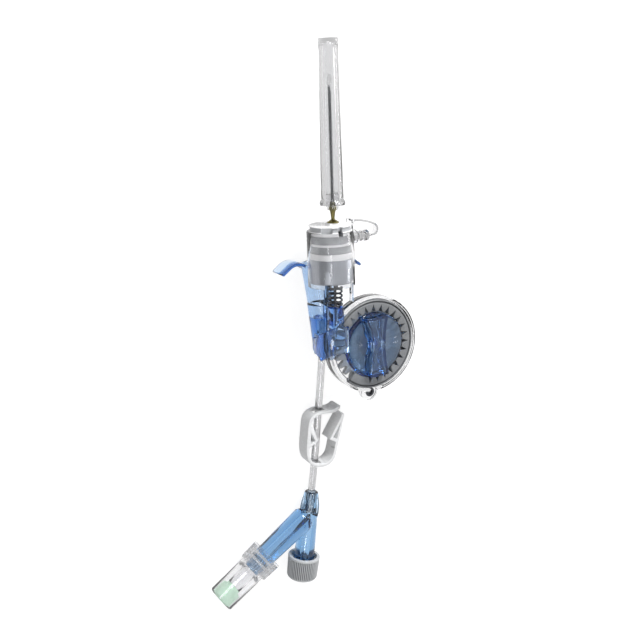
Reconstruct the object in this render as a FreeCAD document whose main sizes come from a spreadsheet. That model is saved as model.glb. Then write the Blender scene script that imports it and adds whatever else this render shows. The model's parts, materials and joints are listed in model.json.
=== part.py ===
import FreeCAD, Part
import math
import os
import Sketcher

os.makedirs("parts", exist_ok=True)
doc = FreeCAD.newDocument("iv_cannula")
sheet = doc.addObject("Spreadsheet::Sheet", "Sheet")
V = FreeCAD.Vector

# Driving sizes in millimetres and degrees
sizes = {
    # Frame: the set lies on its back. X across, Y along the needle, Z up from the table.
    "axis_up": 15.1,  # needle axis above the table
    "line_up": 5.85,  # tubing and connector axis above the table
    "barrel_back": 2.0,  # barrel axis below the needle axis
    # Needle, catheter and shield
    "shield_clear": 1.3,  # mouth of the needle shield above the hub's face
    "shield_long": 48.2,  # length of the needle shield
    "shield_lip": 0.45,  # lip of the shield mouth
    "shield_wall": 1.37,  # wall of the shield near its mouth
    "shield_tip_wall": 1.3,  # side wall of the shield near its closed end
    "shield_fit": 0.03,  # clearance of the shield on the hub
    "shield_tip_bore_r": 1.55,  # bore at the closed end
    "shield_end_wall": 1.2,  # closed end wall
    "hub_seat": 4.1,  # lower face of the hub above the ferrule's foot
    "nose_r": 2.05,  # outside of the catheter hub
    "nose_long": 4.8,  # length of the catheter hub
    "cath_wall": 0.15,  # wall of the catheter
    "cath_fit": 0.07,  # clearance of the needle in the catheter
    "cath_seat": 2.05,  # lower end of the catheter above the hub's face
    "cath_long": 37.65,  # length of the catheter
    "cath_taper": 1.8,  # taper at the catheter tip
    "cath_tip_wall": 0.06,  # wall at the catheter tip
    "needle_r": 0.43,  # needle outside
    "needle_wall": 0.18,  # wall of the needle
    "needle_in": 2.4,  # needle inside the guide tube
    "needle_short": 3.1,  # point of the needle behind the catheter tip
    "bevel_angle": 16,  # slant of the needle point
    "ferrule_foot_r": 1.9,  # foot radius of the crimp ferrule
    "ferrule_ball_r": 1.2,  # ball radius of the crimp ferrule
    # Plunger
    "plunger_y": 29.8,  # lower face of the ringed plunger
    "plunger_long": 10.2,  # height of the ringed plunger
    "plunger_r": 6.72,  # rings of the plunger
    "foot_ring": 1.9,  # height of the plunger's lowest ring
    "band_a_y": 4.16,  # first ring above the plunger's foot
    "band_a_wide": 0.72,  # height of the first ring
    "band_b_y": 7.27,  # second ring above the plunger's foot
    "band_b_wide": 1.33,  # height of the second ring
    "rim_thick": 0.3,  # thin top disc of the plunger
    "groove_deep": 0.42,  # depth of the plunger's grooves
    "plunger_wall": 1.1,  # wall of the plunger at its grooves
    "plunger_roof": 1.6,  # end wall of the plunger
    "boss_r": 1.5,  # needle boss inside the plunger
    "sleeve_long": 7.5,  # length of the steel sleeve
    "sleeve_fit": 0.06,  # clearance of the sleeve in the barrel
    "sleeve_wall": 0.8,  # wall of the steel sleeve
    "key_wide": 3.4,  # key on top of the plunger
    "key_high": 0.8,  # height of the key
    # Barrel
    "barrel_y": 21.0,  # lower edge of the barrel
    "barrel_long": 17.2,  # length of the barrel
    "press_room": 0.8,  # free space below the barrel for the pressed plunger
    "barrel_wall": 0.55,  # wall of the barrel
    "barrel_fit": 0.08,  # clearance of the plunger in the barrel
    "slot_wide": 1.7,  # guide slot of the barrel
    "slot_angle": 38,  # side of the guide slot from the front
    "notch_angle": 40,  # side of the notch from the front
    "cutter_in": 0.8,  # slot and notch cutters start inside the bore
    "slot_top_y": 26.8,  # top of the guide slot
    "notch_wide": 3.2,  # side notch of the barrel
    "port_down": 2.9,  # side port below the barrel's top
    "port_wall": 1.0,  # wall of the side port
    "plug_fit": 0.03,  # clearance of the plug in the port
    "port_out": 1.35,  # side port beyond the barrel
    "plug_stem_r": 1.27,  # stem of the port plug
    "plug_stem_long": 1.7,  # length of the plug stem
    "plug_rim_r": 1.75,  # flanges of the port plug
    "plug_neck_r": 1.35,  # neck of the port plug
    "plug_long": 4.4,  # length of the plug outside the port
    "strap_wide": 2.4,  # width of the tether
    "ear_out": 1.0,  # pad of the ear beyond the barrel's bore
    "ear_up": 2.8,  # ear above the barrel's top
    "leg_foot_y": 13.0,  # foot of the barrel's leg
    "tab_foot_y": 15.6,  # foot of the barrel's rear tab
    "strap_thick": 0.6,  # thickness of the tether
    "strap_bend_r": 1.8,  # small bend of the tether
    "strap_bow_r": 19.0,  # long bow of the tether
    # Spring and guide tube
    "spring_r": 2.2,  # mean radius of the spring
    "spring_wire_r": 0.25,  # wire radius of the spring
    "spring_pitch": 1.65,  # pitch of the spring
    "guide_top_y": 14.4,  # top of the guide tube
    "guide_r": 2.65,  # outside of the guide tube
    "guide_fit": 0.09,  # clearance of the needle in the guide tube
    # Winged body
    "funnel_y": -3.1,  # lower end of the funnel
    "funnel_step_y": 13.7,  # step on the funnel
    "funnel_top_y": 27.0,  # top of the funnel
    "funnel_end_r": 2.95,  # radius at the lower end
    "funnel_step_a": 4.75,  # half width at the step
    "funnel_step_b": 4.35,  # half depth at the step
    "funnel_top_a": 6.4,  # half width at the top
    "funnel_top_b": 5.6,  # half depth at the top
    "funnel_wall": 0.9,  # wall of the funnel
    "cavity_y": 9.2,  # floor of the funnel
    "wing_deep": 7.5,  # depth of the wings above the table
    "wing_thick": 0.9,  # thickness of the wings
    "wing_bow_x": 8.6,  # centre of the wing bow, across
    "wing_bow_y": 22.7,  # centre of the wing bow, along
    "wing_bow_r": 4.75,  # mean radius of the wing bow
    "wing_tail": 2.7,  # straight end of the wing
    "collar_r": 5.96,  # outside of the collar
    "collar_wall": 1.06,  # wall of the collar
    "collar_back": 2.5,  # collar axis below the needle axis
    "tongue_r": 4.15,  # round end of the tongue
    "tongue_thick": 1.6,  # thickness of the tongue
    # Dial
    "dial_x": 13.3,  # dial axis, across
    "tray_wall": 0.7,  # wall of the dial housing
    "ring_gap": 0.3,  # gap between the index ring and the housing
    "tray_under": 3.9,  # back of the housing below the needle axis
    "tray_floor": 0.8,  # floor of the housing
    "tray_front": 0.9,  # front edge above the needle axis
    "collar_gap": 0.3,  # collar above the dish's rim
    "lug_r": 3.0,  # lug of the housing
    "lug_aside": 0.4,  # lug centre beside the dial axis
    "lug_out": 1.0,  # lug centre outside the housing
    "lug_thick": 2.2,  # thickness of the lug
    "eyelet_r": 1.3,  # outside of the eyelet
    "eyelet_wall": 0.5,  # wall of the eyelet
    "eyelet_flange": 0.3,  # flange of the eyelet
    "ring_rim": 0.9,  # ring outside the wire's groove
    "ring_web": 3.05,  # ring inside the wire's groove
    "ring_front": 0.7,  # front of the index ring above the needle axis
    "ring_round": 0.5,  # rounded outer rim of the ring
    "ring_start": 230,  # angle of the ring's end block
    "ring_open": 11.8,  # gap between the ring's end and the wire's crossing
    "ball_before": 3.3,  # end of the wire before the ring's end block
    "vee_deep": 2.15,  # depth of the vee notches
    "vee_wide": 1.6,  # width of the vee notches at the bore
    "teeth": 27,  # teeth of the drive gear
    "vee_count": 19,  # notches of the index ring
    "vee_first": 262.7,  # angle of the first notch
    "gear_out": 0.05,  # root of the gear beyond the ring's bore
    "tooth_out": 2.35,  # tip of the gear beyond the ring's bore
    "gear_gap": 0.1,  # gap between gear and housing floor
    "stack_gap": 0.05,  # gap between gear and ring
    "gear_thick": 1.65,  # thickness of the gear
    "tooth_root": 2.1,  # tooth width at the root
    "tooth_tip": 1.1,  # tooth width at the tip
    "dish_gap": 0.35,  # gap between dish and index ring
    "dish_rim_up": 1.0,  # rim of the dish above the needle axis
    "dish_floor_r": 6.2,  # floor of the dish
    "hub_r": 3.4,  # hub of the dish
    "hub_step": 0.6,  # hub above the dish's floor
    "dish_wall": 0.9,  # wall of the dish
    "grip_up": 4.2,  # front of the grip above the needle axis
    "grip_waist": 2.3,  # half width of the grip at its waist
    "grip_reach": 9.8,  # half length of the grip
    "grip_foot": 3.6,  # half width of the grip at its ends
    "grip_flare": 4.6,  # flared corner of the grip
    "grip_neck": 2.6,  # half width of the grip beside its waist
    "grip_wall": 0.9,  # wall of the grip
    "pin_r": 1.45,  # axle pin
    "pin_fit": 0.05,  # clearance of gear and knob on the pin
    "pin_over": 0.2,  # head of the pin above the needle axis
    "pin_head": 0.9,  # thickness of the pin's head
    "pin_head_r": 2.3,  # head of the axle pin
    "wire_r": 0.15,  # guide wire
    "wire_over": 0.7,  # radius of the wire's groove beyond the needle axis
    "groove_half": 0.25,  # half width of the wire's groove
    "wire_ball_r": 0.55,  # ball at the wire's end
    "wire_short": 3.0,  # front end of the wire behind the needle's point
    # Tubing
    "tube_r": 1.25,  # extension tube outside
    "tube_wall": 0.5,  # wall of the extension tube
    "tube_top_y": 8.5,  # upper end of the tube
    "bend_a_y": -0.5,  # first bend of the tube, along
    "bend_b_x": -1.92,  # second bend of the tube, across
    "bend_b_y": -18.0,  # second bend of the tube, along
    "bend_c_run": 6.1,  # third bend of the tube, above the connector
    "tube_in": 7.2,  # tube inside the connector
    "relief_gap": 0.5,  # flare of the funnel round the tube
    "relief_long": 6.7,  # depth of the flare
    # Pinch clamp
    "clamp_wide": 5.8,  # width of the pinch clamp
    "clamp_x": -1.5,  # middle of the clamp, across
    "clamp_y": -31.8,  # middle of the clamp, along
    "clamp_up": 9.0,  # latch above the middle
    "clamp_down": 9.3,  # foot below the middle
    "clamp_back": 6.7,  # back wall from the middle
    "clamp_front": 6.8,  # free end of the front arm from the middle
    "clamp_hole_gap": 0.35,  # gap between the clamp's holes and the tube
    "clamp_wall": 1.1,  # wall of the pinch clamp
    # Connector
    "conn_x": -6.12,  # top of the connector, across
    "conn_y": -51.0,  # top of the connector, along
    "conn_lean": 9.3,  # lean of the connector
    "nose_neck_r": 2.3,  # top of the connector nose
    "flutes": 6,  # flutes round the nose
    "flute_wide": 1.1,  # width of a flute
    "nose_wide_r": 3.25,  # widest part of the connector nose
    "nose_run": 8.8,  # length of the connector nose
    "run_r": 3.0,  # main run below the nose
    "run_end_r": 3.6,  # main run at its lower end
    "run_long": 27.0,  # length of the connector
    "arm_from": 8.0,  # where the side arm starts
    "arm_turn": 47.5,  # angle of the side arm
    "arm_r": 4.1,  # side arm at its root
    "arm_end_r": 3.6,  # side arm at its end
    "arm_long": 21.6,  # length of the side arm
    "arm_spigot_r": 2.9,  # spigot of the side arm
    "arm_spigot_long": 5.0,  # length of the spigot
    "lumen_r": 1.0,  # flow bore of the connector
    # Caps
    "vent_over": 3.8,  # overlap of the vent cap on the connector
    "vent_long": 8.0,  # height of the vent cap
    "vent_wall": 1.1,  # wall of the vent cap at its mouth
    "vent_draft": 0.3,  # taper of the vent cap
    "vent_gap": 0.75,  # mouth of the vent cap round the connector
    "lock_over": 2.4,  # lock collar over the arm
    "lock_long": 6.8,  # length of the lock collar
    "lock_gap": 1.05,  # lock collar beyond the injection cap
    "lock_draft": 0.25,  # taper of the lock collar
    "lock_wall": 0.9,  # wall of the lock collar
    "cap_step": 1.8,  # injection cap beyond the arm's spigot
    "cap_wall": 0.8,  # wall of the injection cap
    "cap_long": 18.7,  # injection cap beyond the arm
    "cap_fit": 0.02,  # clearance of the caps on the connector
    "stopper_long": 6.2,  # length of the stopper
    "inner_r": 2.6,  # inner sleeve of the injection cap
    "inner_wall": 0.5,  # wall of the inner sleeve
}
for row, (alias, value) in enumerate(sizes.items(), 1):
    sheet.set("A%d" % row, alias.replace("_", " "))
    sheet.set("B%d" % row, str(value))
    sheet.setAlias("B%d" % row, alias)
# Sizes that follow from the ones above
fitted = {
    "plunger_top_y": "(plunger_y + plunger_long)",
    "ferrule_y": "(plunger_top_y + key_high)",
    "nose_y": "(ferrule_y + hub_seat)",
    "cath_y": "(nose_y + cath_seat)",
    "cath_tip_y": "(cath_y + cath_long)",
    "shield_y": "(nose_y + shield_clear)",
    "needle_tip_y": "(cath_tip_y - needle_short)",
    "needle_y": "(guide_top_y - needle_in)",
    "wire_tip_y": "(needle_tip_y - wire_short)",
    "shield_bore_r": "(nose_r + shield_fit)",
    "shield_mouth_r": "(shield_bore_r + shield_wall)",
    "shield_lip_r": "(shield_mouth_r + shield_lip)",
    "shield_end_r": "(shield_tip_bore_r + shield_tip_wall)",
    "cath_bore_r": "(needle_r + cath_fit)",
    "cath_r": "(cath_bore_r + cath_wall)",
    "cath_tip_r": "(cath_bore_r + cath_tip_wall)",
    "needle_bore_r": "(needle_r - needle_wall)",
    "groove_r": "(plunger_r - groove_deep)",
    "plunger_in_r": "(groove_r - plunger_wall)",
    "barrel_bore_r": "(plunger_r + barrel_fit)",
    "barrel_r": "(barrel_bore_r + barrel_wall)",
    "barrel_top_y": "(barrel_y + barrel_long)",
    "barrel_z": "(axis_up - barrel_back)",
    "cutter_r": "(barrel_bore_r - cutter_in)",
    "sleeve_y": "(plunger_y - sleeve_long)",
    "sleeve_r": "(barrel_bore_r - sleeve_fit)",
    "port_y": "(barrel_top_y - port_down)",
    "port_bore_r": "(plug_stem_r + plug_fit)",
    "port_r": "(port_bore_r + port_wall)",
    "port_face_x": "(barrel_r + port_out)",
    "guide_bore_r": "(needle_r + guide_fit)",
    "wire_ring_r": "(dial_x + wire_over)",
    "meet_angle": "(180 - acos(dial_x / wire_ring_r) / 1 deg)",
    "ring_span": "(360 + meet_angle - ring_start - ring_open)",
    "ring_r": "(wire_ring_r + ring_rim)",
    "ring_in_r": "(wire_ring_r - ring_web)",
    "vee_r": "(ring_in_r + vee_deep)",
    "tray_in_r": "(ring_r + ring_gap)",
    "tray_r": "(tray_in_r + tray_wall)",
    "tray_back": "(axis_up - tray_under)",
    "gear_r": "(ring_in_r + gear_out)",
    "gear_tip_r": "(ring_in_r + tooth_out)",
    "gear_under": "(tray_under - tray_floor - gear_gap)",
    "ring_under": "(gear_under - gear_thick - stack_gap)",
    "knob_back": "(axis_up - gear_under + gear_thick)",
    "dish_r": "(ring_in_r - dish_gap)",
    "pin_shank": "(tray_under + tongue_thick + pin_over)",
    "lug_x": "(dial_x - lug_aside)",
    "lug_y": "(0 - tray_r - lug_out)",
    "eyelet_bore_r": "(eyelet_r - eyelet_wall)",
    "tube_bore_r": "(tube_r - tube_wall)",
    "relief_r": "(tube_r + relief_gap)",
    "relief_y": "(funnel_y + relief_long)",
    "vent_from": "(run_long - vent_over)",
    "vent_rim_r": "(run_end_r + vent_gap)",
    "vent_r": "(vent_rim_r + vent_wall)",
    "vent_end_r": "(vent_r - vent_draft)",
    "cap_r": "(arm_spigot_r + cap_step)",
    "cap_end_from": "(arm_long + cap_long)",
    "lock_from": "(arm_long - lock_over)",
    "lock_r": "(cap_r + lock_gap)",
    "lock_end_r": "(lock_r - lock_draft)",
}
doc.recompute()


def number(text):
    """The value of an expression over the named sizes."""
    value = sheet.evalExpression(S(text))
    return float(getattr(value, "Value", value))


def S(text):
    """An expression with every size read from the sheet, fitted sizes written out."""
    out = ""
    word = ""
    for c in text + " ":
        if c.isalpha() or c == "_" or (word and c.isdigit()):
            word += c
            continue
        if word in ("sin", "cos", "acos", "sqrt", "deg"):
            out += word
        elif word in fitted:
            out += S(fitted[word])
        elif word:
            out += "Sheet." + word
        word = ""
        out += c
    return out.strip()


ROT = {
    "x": FreeCAD.Rotation(V(0, 1, 0), 90),
    "y": FreeCAD.Rotation(V(1, 0, 0), -90),
    "z": FreeCAD.Rotation(),
    "up": FreeCAD.Rotation(V(1, 0, 0), 90),
}


def put(obj, x, y, z, turn="z"):
    """Places an object at three expressions, turned as named or by a rotation."""
    rotation = ROT[turn] if isinstance(turn, str) else turn
    obj.Placement = FreeCAD.Placement(V(0, 0, 0), rotation)
    obj.setExpression("Placement.Base.x", S(x))
    obj.setExpression("Placement.Base.y", S(y))
    obj.setExpression("Placement.Base.z", S(z))
    return obj


def rod(name, radius, length, x, y, z, turn="z"):
    obj = doc.addObject("Part::Cylinder", name)
    obj.setExpression("Radius", S(radius))
    obj.setExpression("Height", S(length))
    return put(obj, x, y, z, turn)


def block(name, dx, dy, dz, x, y, z, turn="z"):
    obj = doc.addObject("Part::Box", name)
    obj.setExpression("Length", S(dx))
    obj.setExpression("Width", S(dy))
    obj.setExpression("Height", S(dz))
    return put(obj, x, y, z, turn)


def fuse(name, parts):
    obj = doc.addObject("Part::MultiFuse", name)
    obj.Shapes = parts
    obj.Refine = True
    return obj


def cut(name, base, tools):
    tool = tools[0]
    if len(tools) > 1:
        tool = fuse(name + "_tools", tools)
    obj = doc.addObject("Part::Cut", name)
    obj.Base = base
    obj.Tool = tool
    return obj


def common(name, base, tool):
    obj = doc.addObject("Part::MultiCommon", name)
    obj.Shapes = [base, tool]
    return obj


def origin_plane(body, role):
    return [o for o in body.Origin.OriginFeatures if o.Role == role][0]


def outline(body, name, plane, points):
    """A closed sketch through points given as pairs of expressions, each one bound."""
    sk = body.newObject("Sketcher::SketchObject", name)
    sk.AttachmentSupport = (origin_plane(body, plane), [""])
    sk.MapMode = "FlatFace"
    real = [V(number(a), number(b), 0) for a, b in points]
    n = len(real)
    for i in range(n):
        sk.addGeometry(Part.LineSegment(real[i], real[(i + 1) % n]), False)
    for i in range(n):
        sk.addConstraint(Sketcher.Constraint("Coincident", i, 2, (i + 1) % n, 1))
    for i, (a, b) in enumerate(points):
        if a == "0":
            sk.addConstraint(Sketcher.Constraint("PointOnObject", i, 1, -2))
        else:
            k = sk.addConstraint(Sketcher.Constraint("DistanceX", -1, 1, i, 1, real[i].x))
            sk.setExpression("Constraints[%d]" % k, S(a))
        if b == "0":
            sk.addConstraint(Sketcher.Constraint("PointOnObject", i, 1, -1))
        else:
            k = sk.addConstraint(Sketcher.Constraint("DistanceY", -1, 1, i, 1, real[i].y))
            sk.setExpression("Constraints[%d]" % k, S(b))
    return sk


def new_body(name):
    return doc.addObject("PartDesign::Body", name)


def turned(name, points, x, y, z, turn="z", angle=None):
    """A body turned about its own Y from a profile of radius and height."""
    body = new_body(name)
    sk = outline(body, name + "_profile", "XY_Plane", points)
    rev = body.newObject("PartDesign::Revolution", name + "_turn")
    rev.Profile = sk
    rev.ReferenceAxis = (sk, ["V_Axis"])
    rev.Angle = 360
    if angle:
        rev.setExpression("Angle", S(angle))
    sk.Visibility = False
    put(body, x, y, z, turn)
    return body


def padded(name, plane, points, length, x, y, z, turn="z"):
    """A body raised from a flat outline."""
    body = new_body(name)
    sk = outline(body, name + "_outline", plane, points)
    pad = body.newObject("PartDesign::Pad", name + "_pad")
    pad.Profile = sk
    pad.setExpression("Length", S(length))
    sk.Visibility = False
    put(body, x, y, z, turn)
    return body


def ring_of(body, name, first, count, step):
    """Repeats a feature of a body about the body's own Z."""
    pat = body.newObject("PartDesign::PolarPattern", name)
    pat.Originals = [first]
    axis = [o for o in body.Origin.OriginFeatures if o.Role == "Z_Axis"][0]
    pat.Axis = (axis, [""])
    pat.setExpression("Occurrences", S(count))
    pat.setExpression("Angle", S(step))
    body.Tip = pat
    return pat


nodes = {}


def keep(name, obj):
    """Marks an object as one of the parts that are handed over."""
    obj.Label = name
    nodes[name] = obj


# Needle shield: clear tube, closed at the far end, gripping the hub nose
shield = turned("shield_body", [
    ("shield_bore_r", "0"),
    ("shield_lip_r", "0"),
    ("shield_lip_r", "1.1"),
    ("shield_mouth_r", "1.7"),
    ("shield_end_r", "shield_long - 1.4"),
    ("shield_end_r + 0.13", "shield_long - 1.2"),
    ("shield_end_r + 0.13", "shield_long"),
    ("0", "shield_long"),
    ("0", "shield_long - shield_end_wall"),
    ("shield_tip_bore_r", "shield_long - shield_end_wall"),
    ("shield_bore_r", "4.2"),
], "0", "shield_y", "axis_up")
keep("needle_shield", shield)

# Catheter hub: clear nose over the ball of the ferrule
nose = turned("nose_body", [
    ("ferrule_ball_r", "0"),
    ("nose_r", "0"),
    ("nose_r", "nose_long - 0.35"),
    ("nose_r - 0.35", "nose_long"),
    ("cath_r", "nose_long"),
    ("cath_r", "cath_y - nose_y"),
    ("ferrule_ball_r", "cath_y - nose_y"),
], "0", "nose_y", "axis_up")
keep("catheter_hub", nose)

cath = turned("cath_body", [
    ("cath_bore_r", "0"),
    ("cath_r", "0"),
    ("cath_r", "cath_tip_y - cath_y - cath_taper"),
    ("cath_tip_r", "cath_tip_y - cath_y"),
    ("cath_bore_r", "cath_tip_y - cath_y"),
], "0", "cath_y", "axis_up")
keep("catheter_tube", cath)

# Needle: steel tube with a slanted point
needle_rod = rod("needle_rod", "needle_r", "needle_tip_y - needle_y", "0", "needle_y", "axis_up", "y")
needle_bore = rod("needle_hole", "needle_bore_r", "needle_tip_y - needle_y + 2",
                  "0", "needle_y - 1", "axis_up", "y")
bevel = block("needle_slant", "4", "6", "2", "-2", "needle_tip_y - 5 * cos(bevel_angle)",
              "axis_up - needle_r + 5 * sin(bevel_angle)",
              FreeCAD.Rotation(V(1, 0, 0), -number("bevel_angle")))
needle = cut("needle_cut", needle_rod, [needle_bore, bevel])
keep("introducer_needle", needle)

ferrule = turned("ferrule_body", [
    ("needle_r", "0"),
    ("ferrule_foot_r", "0"),
    ("ferrule_foot_r", "0.25"),
    ("0.62", "1.05"),
    ("0.57", "1.6"),
    ("0.85", "3.45"),
    ("1.06", "3.85"),
    ("ferrule_ball_r", "4.4"),
    ("ferrule_ball_r", "5.15"),
    ("1.03", "5.7"),
    ("0.66", "6.05"),
    ("needle_r", "6.05"),
], "0", "ferrule_y", "axis_up")
keep("crimp_ferrule", ferrule)

# Ringed plunger, hollow from below, with a boss for the needle and a key on top
cup = turned("plunger_cup", [
    ("plunger_in_r", "0"),
    ("plunger_r", "0"),
    ("plunger_r", "foot_ring"),
    ("groove_r", "foot_ring"),
    ("groove_r", "band_a_y"),
    ("plunger_r", "band_a_y"),
    ("plunger_r", "band_a_y + band_a_wide"),
    ("groove_r", "band_a_y + band_a_wide"),
    ("groove_r", "band_b_y"),
    ("plunger_r", "band_b_y"),
    ("plunger_r", "band_b_y + band_b_wide"),
    ("groove_r", "band_b_y + band_b_wide"),
    ("groove_r", "plunger_long - rim_thick"),
    ("plunger_r - 0.1", "plunger_long - rim_thick"),
    ("plunger_r - 0.1", "plunger_long"),
    ("0", "plunger_long"),
    ("0", "plunger_long - plunger_roof"),
    ("plunger_in_r", "plunger_long - plunger_roof"),
], "0", "plunger_y", "barrel_z")
boss = rod("plunger_boss", "boss_r", "plunger_long - 0.4", "0", "plunger_y", "axis_up", "y")
key = block("plunger_key", "key_wide", "key_high + 0.2", "3.6",
            "0 - key_wide / 2 - 0.1", "plunger_top_y - 0.2", "axis_up - 2.2")
plunger_raw = fuse("plunger_fused", [cup, boss, key])
plunger_hole = rod("plunger_hole", "needle_r", "14", "0", "plunger_y - 1", "axis_up", "y")
track = block("plunger_track", "1.4", "3.4", "2.0", "-0.7", "plunger_top_y - 3.3",
              "barrel_z + groove_r - 1.2")
window = block("plunger_window", "3.4", "2.2", "2.4", "-4.73", "plunger_top_y - 2.0",
               "axis_up + 1.28", FreeCAD.Rotation(V(0, 1, 0), -number("slot_angle")))
plunger = cut("plunger_cut", plunger_raw, [plunger_hole, track, window])
keep("ringed_plunger", plunger)

sleeve_ring = turned("sleeve_ring", [
    ("1.2", "0"),
    ("sleeve_r - 0.25", "0"),
    ("sleeve_r", "0.25"),
    ("sleeve_r", "plunger_y - sleeve_y"),
    ("sleeve_r - sleeve_wall", "plunger_y - sleeve_y"),
    ("sleeve_r - sleeve_wall", "sleeve_wall"),
    ("1.2", "sleeve_wall"),
], "0", "sleeve_y", "barrel_z")
sleeve_plug = rod("sleeve_fill", "2.9", "sleeve_wall", "0", "sleeve_y", "axis_up", "y")
sleeve_plug_b = rod("sleeve_fill_b", "2.0", "sleeve_wall", "0", "sleeve_y",
                    "barrel_z", "y")
sleeve_hole = rod("sleeve_hole", "needle_r", "3", "0", "sleeve_y - 1", "axis_up", "y")
sleeve = cut("sleeve_cut", fuse("sleeve_fused", [sleeve_ring, sleeve_plug, sleeve_plug_b]),
             [sleeve_hole])
keep("steel_sleeve", sleeve)

# Clear barrel round the plunger: slot, notch, rear tab, side port, ear and leg
barrel_out = rod("barrel_out", "barrel_r", "barrel_top_y - barrel_y", "0", "barrel_y",
                 "barrel_z", "y")
barrel_ear = rod("barrel_ear", "barrel_r", "barrel_long + ear_up", "0", "barrel_y",
                 "barrel_z", "y")
ear_zone = block("ear_zone", "2", "25", "strap_wide + 1", "barrel_bore_r - 1", "barrel_top_y - 20",
                 "barrel_z - strap_wide / 2 - 0.5")
ear = common("ear_piece", barrel_ear, ear_zone)
ear_pad = block("ear_pad", "ear_out", "1.6", "strap_wide + 0.4", "barrel_bore_r",
                "barrel_top_y + ear_up - 1.6",
                "barrel_z - strap_wide / 2 - 0.2")
rear_tab_rod = rod("rear_tab_rod", "barrel_r", "barrel_y + 1 - tab_foot_y", "0", "tab_foot_y",
                   "barrel_z", "y")
rear_tab_zone = block("rear_tab_zone", "2.4", "barrel_y + 2 - tab_foot_y", "4", "-1.2", "tab_foot_y - 1",
                      "barrel_z - barrel_r - 1")
rear_tab = common("rear_tab", rear_tab_rod, rear_tab_zone)
port = rod("port_tube", "port_r", "port_face_x - barrel_bore_r + 0.5", "barrel_bore_r - 0.5", "port_y",
           "barrel_z", "x")
leg = block("barrel_leg", "0.8", "barrel_y + 2 - leg_foot_y", "1.8", "barrel_r - 0.85", "leg_foot_y",
            "barrel_z - 0.9")
barrel_raw = fuse("barrel_fused", [barrel_out, ear, ear_pad, rear_tab, port, leg])
barrel_bore = rod("barrel_bore", "barrel_bore_r", "40", "0", "10", "barrel_z", "y")
port_bore = rod("port_bore", "port_bore_r", "6", "barrel_bore_r - 1.3", "port_y", "barrel_z", "x")
turn_slot = FreeCAD.Rotation(V(0, 1, 0), -number("slot_angle"))
slot = block("barrel_slot", "slot_wide", "slot_top_y - barrel_y + 1 - slot_wide / 2", "4",
             "0 - cutter_r * sin(slot_angle) - slot_wide / 2 * cos(slot_angle)", "barrel_y - 1",
             "barrel_z + cutter_r * cos(slot_angle) - slot_wide / 2 * sin(slot_angle)", turn_slot)
slot_end = rod("barrel_slot_end", "slot_wide / 2", "4", "0 - cutter_r * sin(slot_angle)",
               "slot_top_y - slot_wide / 2", "barrel_z + cutter_r * cos(slot_angle)", turn_slot)
turn_notch = FreeCAD.Rotation(V(0, 1, 0), number("notch_angle"))
notch = block("barrel_notch", "notch_wide", "7", "4",
              "cutter_r * sin(notch_angle) - notch_wide / 2 * cos(notch_angle)", "barrel_y - 1",
              "barrel_z + cutter_r * cos(notch_angle) + notch_wide / 2 * sin(notch_angle)", turn_notch)
leg_cut = rod("leg_cut", "tray_r", "12", "dial_x", "0", "axis_up - 8")
barrel = cut("barrel_cut", barrel_raw,
             [barrel_bore, port_bore, slot, slot_end, notch, leg_cut])
keep("barrel_housing", barrel)

plug = turned("plug_body", [
    ("0", "0"),
    ("plug_stem_r", "0"),
    ("plug_stem_r", "plug_stem_long"),
    ("plug_rim_r", "plug_stem_long"),
    ("plug_rim_r", "plug_stem_long + 0.7"),
    ("plug_neck_r", "plug_stem_long + 0.9"),
    ("plug_neck_r", "plug_stem_long + 1.5"),
    ("plug_rim_r - 0.1", "plug_stem_long + 1.7"),
    ("plug_rim_r - 0.1", "plug_stem_long + 2.2"),
    ("plug_neck_r", "plug_stem_long + 2.4"),
    ("plug_neck_r", "plug_stem_long + 2.9"),
    ("plug_rim_r", "plug_stem_long + 3.1"),
    ("plug_rim_r", "plug_stem_long + plug_long"),
    ("0", "plug_stem_long + plug_long"),
], "port_face_x - plug_stem_long", "port_y", "barrel_z",
    FreeCAD.Rotation(V(0, 0, 1), -90))
keep("port_plug", plug)

# Tether: flat strip swept along a line and two tangent arcs in the plane of the port
half = number("strap_thick") / 2
plug_end = number("port_face_x + plug_long")
bend_x = plug_end + 1.5
bend_r = number("strap_bend_r")
bow_r = number("strap_bow_r")
bend_y = number("port_y") + bend_r
turn_a = math.radians(65)
bow_cx = bend_x + math.cos(turn_a) * (bend_r - bow_r)
bow_cy = bend_y + math.sin(turn_a) * (bend_r - bow_r)
pad_face = number("barrel_bore_r + ear_out")


def strap_side(offset):
    """One long edge of the tether, at an offset from its middle."""
    a = V(plug_end, bend_y - bend_r - offset, 0)
    b = V(bend_x, bend_y - bend_r - offset, 0)
    ra = bend_r + offset
    mid_a = V(bend_x + ra * math.cos((turn_a - math.pi / 2) / 2),
              bend_y + ra * math.sin((turn_a - math.pi / 2) / 2), 0)
    c = V(bend_x + ra * math.cos(turn_a), bend_y + ra * math.sin(turn_a), 0)
    rb = bow_r + offset
    last = math.acos((pad_face - bow_cx) / rb)
    mid = (turn_a + last) / 2
    mid_b = V(bow_cx + rb * math.cos(mid), bow_cy + rb * math.sin(mid), 0)
    d = V(bow_cx + rb * math.cos(last), bow_cy + rb * math.sin(last), 0)
    return a, b, mid_a, c, mid_b, d


o = strap_side(half)
i = strap_side(-half)
strap_wire = Part.Wire([
    Part.LineSegment(o[0], o[1]).toShape(),
    Part.Arc(o[1], o[2], o[3]).toShape(),
    Part.Arc(o[3], o[4], o[5]).toShape(),
    Part.LineSegment(o[5], i[5]).toShape(),
    Part.Arc(i[5], i[4], i[3]).toShape(),
    Part.Arc(i[3], i[2], i[1]).toShape(),
    Part.LineSegment(i[1], i[0]).toShape(),
    Part.LineSegment(i[0], o[0]).toShape(),
])
strap_face = Part.Face(strap_wire)
strap = doc.addObject("Part::Feature", "tether")
strap.Shape = strap_face.extrude(V(0, 0, number("strap_wide")))
put(strap, "0", "0", "barrel_z - strap_wide / 2")
keep("tether_strap", strap)

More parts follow.
